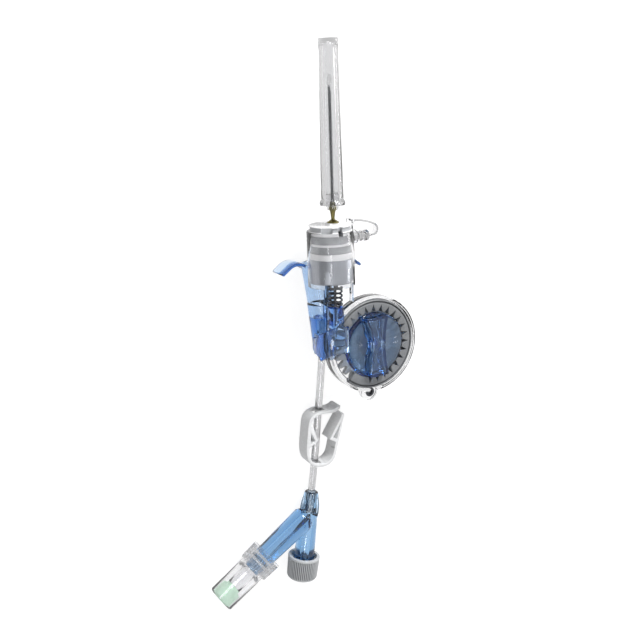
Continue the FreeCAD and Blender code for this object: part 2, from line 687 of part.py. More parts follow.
# Return spring between the guide tube and the sleeve
coil = doc.addObject("Part::Helix", "spring_path")
coil.setExpression("Radius", S("spring_r"))
coil.setExpression("Pitch", S("spring_pitch"))
coil.setExpression("Height", S("sleeve_y - guide_top_y - 2 * spring_wire_r - 0.02"))
coil_section = doc.addObject("Part::Circle", "spring_section")
coil_section.setExpression("Radius", S("spring_wire_r"))
coil_section.Placement = FreeCAD.Placement(V(0, 0, 0), FreeCAD.Rotation(V(1, 0, 0), 90))
coil_section.setExpression("Placement.Base.x", S("spring_r"))
doc.recompute()
coil_sweep = doc.addObject("Part::Sweep", "spring_sweep")
coil_sweep.Sections = [coil_section]
coil_sweep.Spine = (coil, ["Edge%d" % (k + 1) for k in range(len(coil.Shape.Edges))])
coil_sweep.Solid = True
coil_sweep.Frenet = True
spring = put(coil_sweep, "0", "guide_top_y + spring_wire_r + 0.01", "axis_up", "y")
keep("return_spring", spring)

# Winged body: funnel, wings, guide tube, collar and tongue in one moulding


def oval(name, a, b, y):
    e = doc.addObject("Part::Ellipse", name)
    e.setExpression("MajorRadius", S(a))
    e.setExpression("MinorRadius", S(b))
    return put(e, "0", y, "line_up", "y")


def loft(name, first, second):
    obj = doc.addObject("Part::Loft", name)
    obj.Sections = [first, second]
    obj.Solid = True
    obj.Ruled = True
    return obj


low = loft("funnel_low",
           oval("funnel_e1", "funnel_end_r + 0.01", "funnel_end_r", "funnel_y"),
           oval("funnel_e2", "funnel_step_a", "funnel_step_b", "funnel_step_y"))
high = loft("funnel_high",
            oval("funnel_e3", "funnel_step_a - 0.2", "funnel_step_b - 0.2", "funnel_step_y - 0.01"),
            oval("funnel_e4", "funnel_top_a", "funnel_top_b", "funnel_top_y"))
hollow = loft("funnel_hollow",
              oval("funnel_e5", "3.05", "2.95", "cavity_y"),
              oval("funnel_e6", "funnel_top_a - funnel_wall + 0.1",
                   "funnel_top_b - funnel_wall + 0.08", "funnel_top_y + 1.2"))


def wing_bow(name, radius, deep):
    obj = doc.addObject("Part::Cylinder", name)
    obj.setExpression("Radius", S(radius))
    obj.setExpression("Height", S(deep))
    obj.Angle = 92
    return put(obj, "wing_bow_x", "wing_bow_y", "0", FreeCAD.Rotation(V(0, 0, 1), 53))


bow = cut("wing_bow",
          wing_bow("wing_bow_out", "wing_bow_r + wing_thick / 2", "wing_deep"),
          [rod("wing_bow_in", "wing_bow_r - wing_thick / 2", "wing_deep + 2",
               "wing_bow_x", "wing_bow_y", "-1")])
tail_turn = FreeCAD.Rotation(V(0, 0, 1), -37)
tail = block("wing_tail", "wing_tail", "wing_thick", "wing_deep",
             "wing_bow_x + (wing_bow_r - wing_thick / 2) * cos(53)",
             "wing_bow_y + (wing_bow_r - wing_thick / 2) * sin(53)", "0", tail_turn)
tail_round = rod("wing_tail_round", "wing_thick / 2", "wing_deep",
                 "wing_bow_x + wing_bow_r * cos(53) + wing_tail * cos(37)",
                 "wing_bow_y + wing_bow_r * sin(53) - wing_tail * sin(37)", "0")
wing_right = fuse("wing_right", [bow, tail, tail_round])
wing_left = doc.addObject("Part::Mirroring", "wing_left")
wing_left.Source = wing_right
wing_left.Normal = V(1, 0, 0)
wing_root = block("wing_root", "10.4", "wing_thick", "wing_deep", "-5.2",
                  "wing_bow_y + 2.35", "0")
rib = block("web_rib", "1.1", "6.2", "3.4", "-0.55", "13.8", "axis_up - 6.6")
web = block("web", "1.3", "17", "5.0", "-0.65", "-2.4", "axis_up - 7.4")
guide = rod("guide_tube", "guide_r", "guide_top_y - 2.0", "0", "2.0", "axis_up", "y")

# Collar: shell cut by two slanted planes, seen from the side as a leaf
collar_shell = cut("collar_shell",
                   rod("collar_out", "collar_r", "16", "0", "-5", "axis_up - collar_back", "y"),
                   [rod("collar_in", "collar_r - collar_wall", "18", "0", "-6",
                        "axis_up - collar_back", "y")])
collar_side = padded("collar_side", "YZ_Plane", [
    ("1.7", "-7.2"),
    ("-2.35", "0"),
    ("0.25", "3.6"),
    ("8.85", "3.6"),
    ("6.45", "-0.05"),
], "9.2", "-6.0", "0", "axis_up")
collar = common("collar", collar_shell, collar_side)
cheek = block("cheek", "6.1", "6.6", "4.2", "-3.6", "-2.2", "axis_up - 8.0")
cheek_left = block("cheek_left", "2.2", "4.2", "2.9", "-5.1", "-0.6", "axis_up - 6.7")
tongue_bar = block("tongue_bar", "dial_x + 3.6", "2 * tongue_r", "tongue_thick",
                   "-3.6", "0.25 - tongue_r", "tray_back - tongue_thick")
tongue_end = rod("tongue_end", "tongue_r", "tongue_thick", "dial_x", "0.25",
                 "tray_back - tongue_thick")
outer = fuse("winged_outer", [low, high, wing_right, wing_left, wing_root])
shell = cut("winged_shell", outer, [hollow])
whole = fuse("winged_whole", [shell, rib, web, guide, collar, cheek, cheek_left,
                              tongue_bar, tongue_end])
seat = rod("barrel_seat", "barrel_r", "12", "0", "barrel_y - press_room",
           "barrel_z", "y")
tab_seat = block("tab_seat", "3.0", "barrel_y + 1 - tab_foot_y + 1", "1.6", "-1.5", "tab_foot_y - 1",
                 "barrel_z - barrel_r - 0.5")
tray_seat = rod("tray_seat", "tray_r", "tray_under + dish_rim_up + collar_gap", "dial_x", "0", "tray_back")
tube_seat = rod("tube_seat", "tube_r", "tube_top_y - relief_y", "0", "relief_y", "line_up", "y")
relief = rod("tube_relief", "relief_r", "relief_long + 1", "0", "funnel_y - 1", "line_up", "y")
flow = rod("flow_bore", "0.6", "2", "0", "tube_top_y - 0.5", "line_up", "y")
wire_bore = rod("guide_bore", "guide_bore_r", "20", "0", "0", "axis_up", "y")
pin_seat = rod("pin_seat", "pin_r", "4", "dial_x", "0", "axis_up - 7")
table_trim = block("table_trim", "40", "60", "3", "-20", "-10", "-3")
winged = cut("winged_cut", whole, [seat, tab_seat, tray_seat, tube_seat, relief, flow, wire_bore,
                                   pin_seat, table_trim])
keep("winged_body", winged)

# Dial housing: clear tray with a lug
tray = turned("tray_body", [
    ("pin_r", "0"),
    ("tray_r - 0.4", "0"),
    ("tray_r", "0.4"),
    ("tray_r", "tray_under + tray_front"),
    ("tray_in_r", "tray_under + tray_front"),
    ("tray_in_r", "tray_floor + 0.3"),
    ("tray_in_r - 0.3", "tray_floor"),
    ("pin_r", "tray_floor"),
], "dial_x", "0", "tray_back", "up")
lug = rod("lug_disc", "lug_r", "lug_thick", "lug_x", "lug_y", "tray_back")
lug_neck = block("lug_neck", "2.8 * lug_r", "2.6", "lug_thick", "lug_x - 1.4 * lug_r", "lug_y + lug_out",
                 "tray_back")
lug_clear = rod("lug_clear", "tray_in_r", "8", "dial_x", "0", "tray_back + tray_floor")
tray_raw = fuse("tray_fused", [tray, cut("lug_trim", fuse("lug_fused", [lug, lug_neck]),
                                         [lug_clear])])
lug_hole = rod("lug_hole", "eyelet_r", "6", "lug_x", "lug_y", "tray_back - 1")
lug_room = rod("lug_room", "eyelet_r + 2 * eyelet_flange", "6", "lug_x", "lug_y", "tray_back + lug_thick")
wire_gate = rod("wire_gate", "guide_bore_r + 0.2", "12", "0", "3", "axis_up", "y")
tray_cut = cut("tray_cut", tray_raw, [lug_hole, lug_room, wire_gate])
keep("dial_housing", tray_cut)

eyelet = turned("eyelet_body", [
    ("eyelet_bore_r", "0"),
    ("eyelet_r", "0"),
    ("eyelet_r", "lug_thick"),
    ("eyelet_r + eyelet_flange", "lug_thick"),
    ("eyelet_r + eyelet_flange", "lug_thick + eyelet_flange"),
    ("eyelet_bore_r", "lug_thick + eyelet_flange"),
], "lug_x", "lug_y", "tray_back", "up")
keep("lug_eyelet", eyelet)

# Index ring with a groove for the wire and vee notches inside
ring = new_body("ring_body")
ring_profile = outline(ring, "ring_profile", "XZ_Plane", [
    ("ring_in_r", "0"),
    ("ring_r - ring_round", "0"),
    ("ring_r", "ring_round"),
    ("ring_r", "ring_under + ring_front - ring_round"),
    ("ring_r - ring_round", "ring_under + ring_front"),
    ("wire_ring_r + groove_half", "ring_under + ring_front"),
    ("wire_ring_r + groove_half", "ring_under - 2 * wire_r"),
    ("wire_ring_r - groove_half", "ring_under - 2 * wire_r"),
    ("wire_ring_r - groove_half", "ring_under + ring_front"),
    ("ring_in_r", "ring_under + ring_front"),
])
ring_turn = ring.newObject("PartDesign::Revolution", "ring_turn")
ring_turn.Profile = ring_profile
ring_turn.ReferenceAxis = (ring_profile, ["V_Axis"])
ring_turn.setExpression("Angle", S("ring_span"))
vee = outline(ring, "vee_outline", "XY_Plane", [
    ("(ring_in_r - 0.4) * cos(vee_first - ring_start) + vee_wide * 0.55 * sin(vee_first - ring_start)",
     "(ring_in_r - 0.4) * sin(vee_first - ring_start) - vee_wide * 0.55 * cos(vee_first - ring_start)"),
    ("vee_r * cos(vee_first - ring_start)", "vee_r * sin(vee_first - ring_start)"),
    ("(ring_in_r - 0.4) * cos(vee_first - ring_start) - vee_wide * 0.55 * sin(vee_first - ring_start)",
     "(ring_in_r - 0.4) * sin(vee_first - ring_start) + vee_wide * 0.55 * cos(vee_first - ring_start)"),
])
vee_cut = ring.newObject("PartDesign::Pocket", "vee_cut")
vee_cut.Profile = vee
vee_cut.Type = 1
vee_cut.Midplane = True
doc.recompute()
ring_of(ring, "vee_ring", vee_cut, "vee_count", "360 / teeth * (vee_count - 1)")
put(ring, "dial_x", "0", "axis_up - ring_under",
    FreeCAD.Rotation(V(0, 0, 1), number("ring_start")))
keep("index_ring", ring)

# Drive gear
gear = new_body("gear_body")
gear_circle = gear.newObject("Sketcher::SketchObject", "gear_disc")
gear_circle.AttachmentSupport = (origin_plane(gear, "XY_Plane"), [""])
gear_circle.MapMode = "FlatFace"
gear_circle.addGeometry(Part.Circle(V(0, 0, 0), V(0, 0, 1), number("gear_r")), False)
gear_circle.addConstraint(Sketcher.Constraint("Coincident", 0, 3, -1, 1))
k = gear_circle.addConstraint(Sketcher.Constraint("Radius", 0, number("gear_r")))
gear_circle.setExpression("Constraints[%d]" % k, S("gear_r"))
gear_circle.addGeometry(Part.Circle(V(0, 0, 0), V(0, 0, 1), number("pin_r + pin_fit")), False)
gear_circle.addConstraint(Sketcher.Constraint("Coincident", 1, 3, -1, 1))
k = gear_circle.addConstraint(Sketcher.Constraint("Radius", 1, number("pin_r + pin_fit")))
gear_circle.setExpression("Constraints[%d]" % k, S("pin_r + pin_fit"))
gear_pad = gear.newObject("PartDesign::Pad", "gear_pad")
gear_pad.Profile = gear_circle
gear_pad.setExpression("Length", S("gear_thick"))
tooth = outline(gear, "tooth_outline", "XY_Plane", [
    ("gear_r - 0.4", "tooth_root / 2"),
    ("gear_r - 0.4", "0 - tooth_root / 2"),
    ("gear_tip_r - 0.35", "0 - tooth_tip / 2"),
    ("gear_tip_r", "0 - tooth_tip / 5"),
    ("gear_tip_r", "tooth_tip / 5"),
    ("gear_tip_r - 0.35", "tooth_tip / 2"),
])
tooth_pad = gear.newObject("PartDesign::Pad", "tooth_pad")
tooth_pad.Profile = tooth
tooth_pad.setExpression("Length", S("gear_thick"))
doc.recompute()
ring_of(gear, "tooth_ring", tooth_pad, "teeth", "360")
put(gear, "dial_x", "0", "axis_up - gear_under",
    FreeCAD.Rotation(V(0, 0, 1), number("vee_first")))
keep("drive_gear", gear)

# Dial knob: clear dish with a waisted grip across it
dish = turned("dish_body", [
    ("pin_r + pin_fit", "0"),
    ("dish_floor_r + 2.4", "0"),
    ("dish_r", "ring_under + dish_rim_up - 0.7"),
    ("dish_r", "ring_under + dish_rim_up"),
    ("dish_r - dish_wall", "ring_under + dish_rim_up"),
    ("dish_floor_r + 1.4", "dish_wall"),
    ("dish_floor_r - 1.6", "dish_wall - 0.3"),
    ("hub_r", "dish_wall + hub_step"),
    ("pin_r + pin_fit", "dish_wall + hub_step"),
], "dial_x", "0", "knob_back", "up")
grip = padded("grip_body", "XY_Plane", [
    ("0.2 - grip_foot", "0 - grip_reach - 0.1"),
    ("grip_foot", "0 - grip_reach"),
    ("grip_neck", "0 - grip_reach / 2"),
    ("grip_waist", "0"),
    ("grip_neck", "grip_reach / 2"),
    ("grip_foot - 0.2", "grip_reach"),
    ("0 - grip_flare", "grip_reach - 0.4"),
    ("0 - grip_neck - 0.3", "grip_reach / 2 + 0.7"),
    ("0 - grip_waist", "1.6"),
    ("0 - grip_waist", "0 - 1.4"),
    ("0 - grip_neck", "0 - grip_reach / 2 - 0.5"),
], "grip_up + gear_under - gear_thick", "dial_x", "0", "knob_back")
grip_hollow = padded("grip_hollow", "XY_Plane", [
    ("0.2 + grip_wall - grip_foot", "grip_wall - grip_reach"),
    ("grip_foot - grip_wall", "grip_wall - grip_reach"),
    ("grip_neck - grip_wall", "0 - grip_reach / 2 + 0.1"),
    ("grip_waist - grip_wall", "0"),
    ("grip_neck - grip_wall", "grip_reach / 2"),
    ("grip_foot - 0.2 - grip_wall", "grip_reach - grip_wall - 0.1"),
    ("grip_wall + 0.3 - grip_flare", "grip_reach - grip_wall - 0.3"),
    ("grip_wall - grip_neck - 0.3", "grip_reach / 2 + 0.5"),
    ("grip_wall - grip_waist", "1.6"),
    ("grip_wall - grip_waist", "0 - 1.4"),
    ("grip_wall - grip_neck", "0 - grip_reach / 2 - 0.3"),
], "grip_up + gear_under - gear_thick - grip_wall", "dial_x", "0", "knob_back - 0.1")
grip_bound = rod("grip_bound", "dish_r - 0.35", "8", "dial_x", "0", "knob_back")
grip_core = rod("grip_core", "hub_r", "dish_wall + hub_step", "dial_x", "0", "knob_back")
grip_shell = cut("grip_shell", common("grip_round", grip, grip_bound), [grip_hollow])
knob_raw = fuse("knob_fused", [dish, grip_shell, grip_core])
knob_bore = rod("knob_bore", "pin_r + pin_fit", "4", "dial_x", "0", "axis_up - gear_under")
head_room = rod("head_room", "pin_head_r + 0.1", "2.4", "dial_x", "0", "axis_up + pin_over - pin_fit")
knob = cut("knob_cut", knob_raw, [knob_bore, head_room])
keep("dial_knob", knob)

pin = turned("pin_body", [
    ("0", "0"),
    ("pin_r", "0"),
    ("pin_r", "pin_shank"),
    ("pin_head_r", "pin_shank"),
    ("pin_head_r", "pin_shank + pin_head - 0.3"),
    ("pin_head_r - 0.4", "pin_shank + pin_head"),
    ("0", "pin_shank + pin_head"),
], "dial_x", "0", "tray_back - tongue_thick", "up")
keep("axle_pin", pin)

# Guide wire: straight run through the needle, and the wound run with its ball
wire = rod("wire_run", "wire_r", "wire_tip_y - sqrt(wire_ring_r ^ 2 - dial_x ^ 2)", "0",
           "sqrt(wire_ring_r ^ 2 - dial_x ^ 2)", "axis_up", "y")
keep("guide_wire", wire)

tail_arc = doc.addObject("Part::Torus", "wire_wound")
tail_arc.setExpression("Radius1", S("wire_ring_r"))
tail_arc.setExpression("Radius2", S("wire_r"))
tail_arc.Angle3 = number("ring_start - ball_before - meet_angle")
put(tail_arc, "dial_x", "0", "axis_up", FreeCAD.Rotation(V(0, 0, 1), number("meet_angle") + 1))
ball = doc.addObject("Part::Sphere", "wire_ball")
ball.setExpression("Radius", S("wire_ball_r"))
put(ball, "dial_x + wire_ring_r * cos(ring_start - ball_before + 1)",
    "wire_ring_r * sin(ring_start - ball_before + 1)", "axis_up")
tail_all = fuse("wire_tail_fused", [tail_arc, ball])
keep("wire_tail", tail_all)

# Extension tube: straight runs joined by tangent arcs
run = [
    V(0, number("tube_top_y"), 0),
    V(0, number("bend_a_y"), 0),
    V(number("bend_b_x"), number("bend_b_y"), 0),
    V(number("conn_x + bend_c_run * sin(conn_lean)"),
      number("conn_y + bend_c_run * cos(conn_lean)"), 0),
    V(number("conn_x - tube_in * sin(conn_lean)"),
      number("conn_y - tube_in * cos(conn_lean)"), 0),
]
pieces = []
start = run[0]
for j in (1, 2, 3):
    before = run[j] - run[j - 1]
    after = run[j + 1] - run[j]
    reach = 0.45 * min(before.Length, after.Length)
    half_turn = before.getAngle(after) / 2
    print("tube bend radius %.1f" % (reach / math.tan(half_turn)))
    into = run[j] - before.normalize() * reach
    out_of = run[j] + after.normalize() * reach
    radius = reach / math.tan(half_turn)
    toward = (out_of - run[j]).normalize() + (into - run[j]).normalize()
    centre = run[j] + toward.normalize() * (radius / math.cos(half_turn))
    middle = centre + (run[j] - centre).normalize() * radius
    pieces.append(Part.LineSegment(start, into).toShape())
    pieces.append(Part.Arc(into, middle, out_of).toShape())
    start = out_of
pieces.append(Part.LineSegment(start, run[4]).toShape())
path = Part.Wire(pieces)
tube_outer = Part.Wire([Part.makeCircle(number("tube_r"), run[0], V(0, -1, 0))])
tube_inner = Part.Wire([Part.makeCircle(number("tube_bore_r"), run[0], V(0, -1, 0))])
tube_shape = path.makePipeShell([tube_outer], True, True).cut(
    path.makePipeShell([tube_inner], True, True))
area = math.pi * (number("tube_r") ** 2 - number("tube_bore_r") ** 2)
print("tube volume %.2f, section times length %.2f" % (tube_shape.Volume, area * path.Length))
tube = doc.addObject("Part::Feature", "tube")
tube.Shape = tube_shape
put(tube, "0", "0", "line_up")
keep("extension_tube", tube)

# Pinch clamp: one bent strip with two jaws, in the clamp's own plane
clamp_bend = doc.addObject("Part::Feature", "clamp_strip")


def strip(points, thick):
    """A rounded strip of even thickness along a chain of points."""
    curve = Part.BSplineCurve()
    curve.interpolate(points)
    edge = curve.toShape()
    n = 6 * len(points)
    left = []
    right = []
    for m in range(n + 1):
        u = edge.FirstParameter + (edge.LastParameter - edge.FirstParameter) * m / n
        p = edge.valueAt(u)
        t = edge.tangentAt(u)
        side = V(-t.y, t.x, 0) * (thick / 2)
        left.append(p + side)
        right.append(p - side)
    a = Part.BSplineCurve()
    a.interpolate(left)
    b = Part.BSplineCurve()
    b.interpolate(right)
    wire_of = Part.Wire([
        a.toShape(),
        Part.LineSegment(left[-1], right[-1]).toShape(),
        b.toShape(),
        Part.LineSegment(right[0], left[0]).toShape(),
    ])
    return Part.Face(wire_of)


def shape_of(points):
    return Part.Face(Part.makePolygon(points + [points[0]]))


def at(side, rise):
    """A point from the middle of the clamp, with sides to the right and rises towards the needle."""
    return V(number("clamp_x") + side, number("clamp_y") + rise, 0)


wall = number("clamp_wall")
wide = number("clamp_wide")
up = number("clamp_up")
foot = -number("clamp_down")
back = -number("clamp_back")
front = number("clamp_front")
bent_strip = strip([
    at(front - 1.3, up + 0.9), at(front - 4.1, up - 0.1), at(-0.1, up + 0.1), at(-2.5, up),
    at(back + 1.9, up - 1.2), at(back + 1.05, up - 3.4), at(back + 0.5, 1.8), at(back, -3.0),
    at(back + 0.2, foot + 3.7), at(back + 1.6, foot + 1.2), at(-2.1, foot - 0.1), at(0.8, foot + 0.1),
    at(2.7, foot + 1.8), at(3.6, foot + 4.5), at(5.1, 0.8), at(front, up - 1.8),
], wall)
jaw_left = shape_of([at(back + 1.2, up - 3.6), at(-4.5, up - 3.8), at(-3.12, 0.4), at(-3.25, -0.6),
                     at(back + 0.4, -2.5)])
jaw_left_gap = shape_of([at(back + 1.4, 2.9), at(-3.95, -0.1), at(back + 1.0, -1.3)])
jaw_right = shape_of([at(front + 0.1, up - 2.1), at(front - 0.4, up - 2.2), at(1.4, -0.8),
                      at(4.4, -2.8)])
jaw_right_gap = shape_of([at(front - 1.15, 4.0), at(2.8, -0.5), at(4.25, -1.5)])
hook = shape_of([at(front - 0.9, up + 1.3), at(front - 1.2, up + 0.6), at(front - 2.9, up - 0.8),
                 at(front - 4.3, up - 0.2), at(front - 2.7, up + 0.6)])


def slab(face, below, thick):
    """A flat outline raised into a solid that faces outward."""
    solid = face.extrude(V(0, 0, thick))
    solid.translate(V(0, 0, below))
    if solid.Volume < 0:
        solid.reverse()
    return solid


clamp_parts = [slab(f, 0, wide) for f in (jaw_left, jaw_right, hook)]
clamp_gaps = [slab(f, -1, wide + 2) for f in (jaw_left_gap, jaw_right_gap)]
clamp_solid = slab(bent_strip, 0, wide).multiFuse(clamp_parts).cut(clamp_gaps).removeSplitter()
clamp_bend.Shape = clamp_solid
put(clamp_bend, "0", "0", "line_up - clamp_wide / 2")
lower_run = (run[3] - run[2]).normalize()
hole_turn = FreeCAD.Rotation(V(0, 0, 1), lower_run)
clamp_start = run[2] - lower_run * 2
clamp_hole = rod("clamp_hole", "tube_r + clamp_hole_gap", "30", "%.4f" % clamp_start.x,
                 "%.4f" % clamp_start.y, "line_up", hole_turn)
clamp_slot = block("clamp_slot", "3.2", "5", "2 * (tube_r + clamp_hole_gap)", "clamp_x - 4.5",
                   "clamp_y - clamp_down - 1.9",
                   "line_up - tube_r - clamp_hole_gap")
clamp_top_slot = block("clamp_top_slot", "4.0", "4", "2 * (tube_r + clamp_hole_gap)", "clamp_x - 3.4",
                       "clamp_y + clamp_up - 2.2",
                       "line_up - tube_r - clamp_hole_gap")
clamp = cut("clamp_cut", clamp_bend, [clamp_hole, clamp_slot, clamp_top_slot])
keep("pinch_clamp", clamp)

# Connector: run with a ribbed nose and a side arm, in one moulding
lean = FreeCAD.Rotation(V(0, 0, 1), 180 - number("conn_lean"))
run_body = turned("conn_run", [
    ("0", "0"),
    ("nose_neck_r - 0.4", "0"),
    ("nose_neck_r", "0.3"),
    ("nose_wide_r - 0.3", "3.2"),
    ("nose_wide_r", "5.2"),
    ("nose_wide_r", "7.4"),
    ("nose_wide_r - 0.1", "nose_run"),
    ("run_r", "nose_run"),
    ("run_end_r", "run_long - 2.0"),
    ("run_end_r", "run_long - 0.4"),
    ("run_end_r - 0.4", "run_long"),
    ("0", "run_long"),
], "conn_x", "conn_y", "line_up", lean)
arm_turn = FreeCAD.Rotation(V(0, 0, 1), 180 - number("conn_lean + arm_turn"))
arm_x = "conn_x - arm_from * sin(conn_lean)"
arm_y = "conn_y - arm_from * cos(conn_lean)"
arm_body = turned("conn_arm", [
    ("0", "0"),
    ("arm_r - 1.4", "0"),
    ("arm_r", "2.4"),
    ("arm_end_r", "arm_long"),
    ("arm_spigot_r", "arm_long"),
    ("arm_spigot_r - 0.15", "arm_long + arm_spigot_long"),
    ("0", "arm_long + arm_spigot_long"),
], arm_x, arm_y, "line_up", arm_turn)
flute_list = []
flutes = int(number("flutes"))
for q in range(flutes):
    ahead = lean.multiply(FreeCAD.Rotation(V(0, 1, 0), 360 * (q + 0.5) / flutes))
    flute = block("nose_flute%d" % q, "flute_wide", "6.2", "2", "conn_x", "conn_y", "line_up",
                  ahead.multiply(FreeCAD.Rotation(V(1, 0, 0), -10)))
    shift = ahead.multVec(V(-number("flute_wide") / 2, 1.6, number("nose_neck_r") + 0.05))
    flute.setExpression("Placement.Base.x", S("conn_x + %.4f" % shift.x))
    flute.setExpression("Placement.Base.y", S("conn_y + %.4f" % shift.y))
    flute.setExpression("Placement.Base.z", S("line_up + %.4f" % shift.z))
    flute_list.append(flute)
conn_raw = fuse("conn_fused", [run_body, arm_body])
seat_turn = lean.multiply(FreeCAD.Rotation(V(1, 0, 0), -90))
conn_seat = rod("conn_seat", "tube_r", "tube_in + 0.6", "conn_x + 0.5 * sin(conn_lean)",
                "conn_y + 0.5 * cos(conn_lean)", "line_up", seat_turn)
conn_flow = rod("conn_flow", "lumen_r", "26", "conn_x - 5 * sin(conn_lean)",
                "conn_y - 5 * cos(conn_lean)", "line_up", seat_turn)
arm_flow_turn = arm_turn.multiply(FreeCAD.Rotation(V(1, 0, 0), -90))
arm_flow = rod("arm_flow", "lumen_r", "32", arm_x, arm_y, "line_up", arm_flow_turn)
conn = cut("conn_cut", conn_raw, [conn_seat, conn_flow, arm_flow] + flute_list)
keep("y_connector", conn)


def along(turn_words, distance):
    """Expressions for a point along an axis from the connector or the arm."""
    if turn_words == "run":
        return ("conn_x - (%s) * sin(conn_lean)" % distance,
                "conn_y - (%s) * cos(conn_lean)" % distance)
    return ("%s - (%s) * sin(conn_lean + arm_turn)" % (arm_x, distance),
            "%s - (%s) * cos(conn_lean + arm_turn)" % (arm_y, distance))


# Vent cap on the lower end, ribbed outside
vent = turned("vent_body", [
    ("vent_rim_r", "0"),
    ("vent_r", "0"),
    ("vent_r - 0.05", "vent_long * 0.7"),
    ("vent_end_r", "vent_long - 0.5"),
    ("vent_end_r - 0.5", "vent_long"),
    ("0", "vent_long"),
    ("0", "vent_over + 1.2"),
    ("run_end_r + cap_fit", "vent_over + 1.2"),
    ("run_end_r + cap_fit", "2.2"),
    ("vent_rim_r", "1.6"),
], along("run", "vent_from")[0], along("run", "vent_from")[1], "line_up", lean)
keep("vent_cap", vent)

# Lock collar, spinning round the root of the injection cap
lock = turned("lock_body", [
    ("lock_r - lock_wall", "0"),
    ("lock_r", "0"),
    ("lock_end_r", "lock_long"),
    ("cap_r + 0.06", "lock_long"),
    ("cap_r + 0.06", "lock_long - 1.0"),
    ("lock_r - lock_wall", "lock_long - 1.1"),
], along("arm", "lock_from")[0], along("arm", "lock_from")[1], "line_up", arm_turn)
keep("lock_collar", lock)

# Injection cap: clear barrel with a flange inside the collar
cap_from = "arm_long + 0.4"
cap = turned("cap_body", [
    ("arm_spigot_r + cap_fit", "0"),
    ("arm_spigot_r + 0.8", "0"),
    ("cap_r", "2.6"),
    ("cap_r", "cap_end_from - arm_long - 0.8"),
    ("cap_r - 0.4", "cap_end_from - arm_long - 0.4"),
    ("cap_r - cap_wall", "cap_end_from - arm_long - 0.4"),
    ("cap_r - cap_wall", "arm_spigot_long + 1.4"),
    ("arm_spigot_r + cap_fit", "arm_spigot_long"),
], along("arm", cap_from)[0], along("arm", cap_from)[1], "line_up", arm_turn)
keep("injection_cap", cap)

stop_from = "cap_end_from - stopper_long - 0.2"
stopper = turned("stopper_body", [
    ("0", "0"),
    ("inner_r", "0"),
    ("inner_r", "0.6"),
    ("cap_r - cap_wall", "1.2"),
    ("cap_r - cap_wall", "stopper_long - 0.6"),
    ("cap_r - cap_wall - 0.5", "stopper_long"),
    ("0", "stopper_long"),
], along("arm", stop_from)[0], along("arm", stop_from)[1], "line_up", arm_turn)
keep("green_stopper", stopper)

inner_from = "arm_long + arm_spigot_long + 0.4"
inner = turned("inner_body", [
    ("inner_r - inner_wall", "0"),
    ("inner_r", "0"),
    ("inner_r", "cap_end_from - stopper_long - 0.6 - arm_long - arm_spigot_long"),
    ("inner_r - inner_wall", "cap_end_from - stopper_long - 0.6 - arm_long - arm_spigot_long"),
], along("arm", inner_from)[0], along("arm", inner_from)[1], "line_up", arm_turn)
keep("inner_sleeve", inner)

doc.recompute()

for obj in doc.Objects:
    bad = [s for s in obj.State if s in ("Invalid", "Error")]
    if bad:
        raise RuntimeError("%s is %s" % (obj.Name, bad))

for name, obj in nodes.items():
    shape = obj.Shape
    if shape.isNull() or not shape.isValid():
        raise RuntimeError("%s has no valid shape" % name)
    box = shape.BoundBox
    print("%-18s solids %d volume %9.2f  x %7.2f %7.2f y %7.2f %7.2f z %6.2f %6.2f" % (
        name, len(shape.Solids), shape.Volume, box.XMin, box.XMax, box.YMin, box.YMax,
        box.ZMin, box.ZMax))
    shape.exportStep("parts/%s.step" % name)
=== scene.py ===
import json
import math

import bmesh
import bpy
from bpy.props import FloatProperty, FloatVectorProperty, IntProperty, PointerProperty
from bpy.types import Operator, Panel, PropertyGroup
from mathutils import Matrix, Vector

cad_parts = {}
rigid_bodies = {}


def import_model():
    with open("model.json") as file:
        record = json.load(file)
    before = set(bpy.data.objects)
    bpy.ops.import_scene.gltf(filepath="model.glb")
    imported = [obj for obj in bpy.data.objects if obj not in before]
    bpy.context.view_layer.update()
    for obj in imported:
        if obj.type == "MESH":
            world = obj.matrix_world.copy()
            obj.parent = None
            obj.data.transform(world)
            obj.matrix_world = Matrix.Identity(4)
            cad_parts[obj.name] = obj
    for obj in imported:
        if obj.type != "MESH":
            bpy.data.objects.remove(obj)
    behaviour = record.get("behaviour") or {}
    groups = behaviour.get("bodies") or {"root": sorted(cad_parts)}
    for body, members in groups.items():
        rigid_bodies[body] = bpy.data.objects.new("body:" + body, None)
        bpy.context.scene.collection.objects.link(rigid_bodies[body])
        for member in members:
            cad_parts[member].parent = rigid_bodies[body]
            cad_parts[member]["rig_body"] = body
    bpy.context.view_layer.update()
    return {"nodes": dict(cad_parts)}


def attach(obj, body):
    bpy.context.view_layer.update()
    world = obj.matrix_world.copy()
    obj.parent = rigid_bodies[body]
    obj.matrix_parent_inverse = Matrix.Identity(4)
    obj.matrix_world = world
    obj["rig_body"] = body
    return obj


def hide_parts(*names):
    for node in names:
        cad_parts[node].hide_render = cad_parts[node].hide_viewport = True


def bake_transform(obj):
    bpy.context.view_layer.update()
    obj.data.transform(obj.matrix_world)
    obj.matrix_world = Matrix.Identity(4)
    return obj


bl_info = {
    "name": "IV Cannula Set",
    "version": (1, 0, 0),
    "blender": (4, 5, 0),
    "location": "View3D > Sidebar > Cannula",
    "description": "Dresses the packed cannula, its dial, tubing and caps",
    "category": "Object",
}

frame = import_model()

MM = 0.001
UPRIGHT = Vector((0.0, 0.0, 1.0))


def mm(x, y, z):
    """A point in metres from millimetres."""
    return Vector((x, y, z)) * MM


def heading(lean):
    """The level direction away from the needle's tip, turned so many degrees to the left."""
    a = math.radians(lean)
    return Vector((-math.sin(a), -math.cos(a), 0.0))


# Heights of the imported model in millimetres: needle line, barrel's middle, tubing, plunger's front rim
NEEDLE_Z = 15.1
BARREL_Z = 13.1
LINE_Z = 5.85
PLUNGER_RIM = 39.65

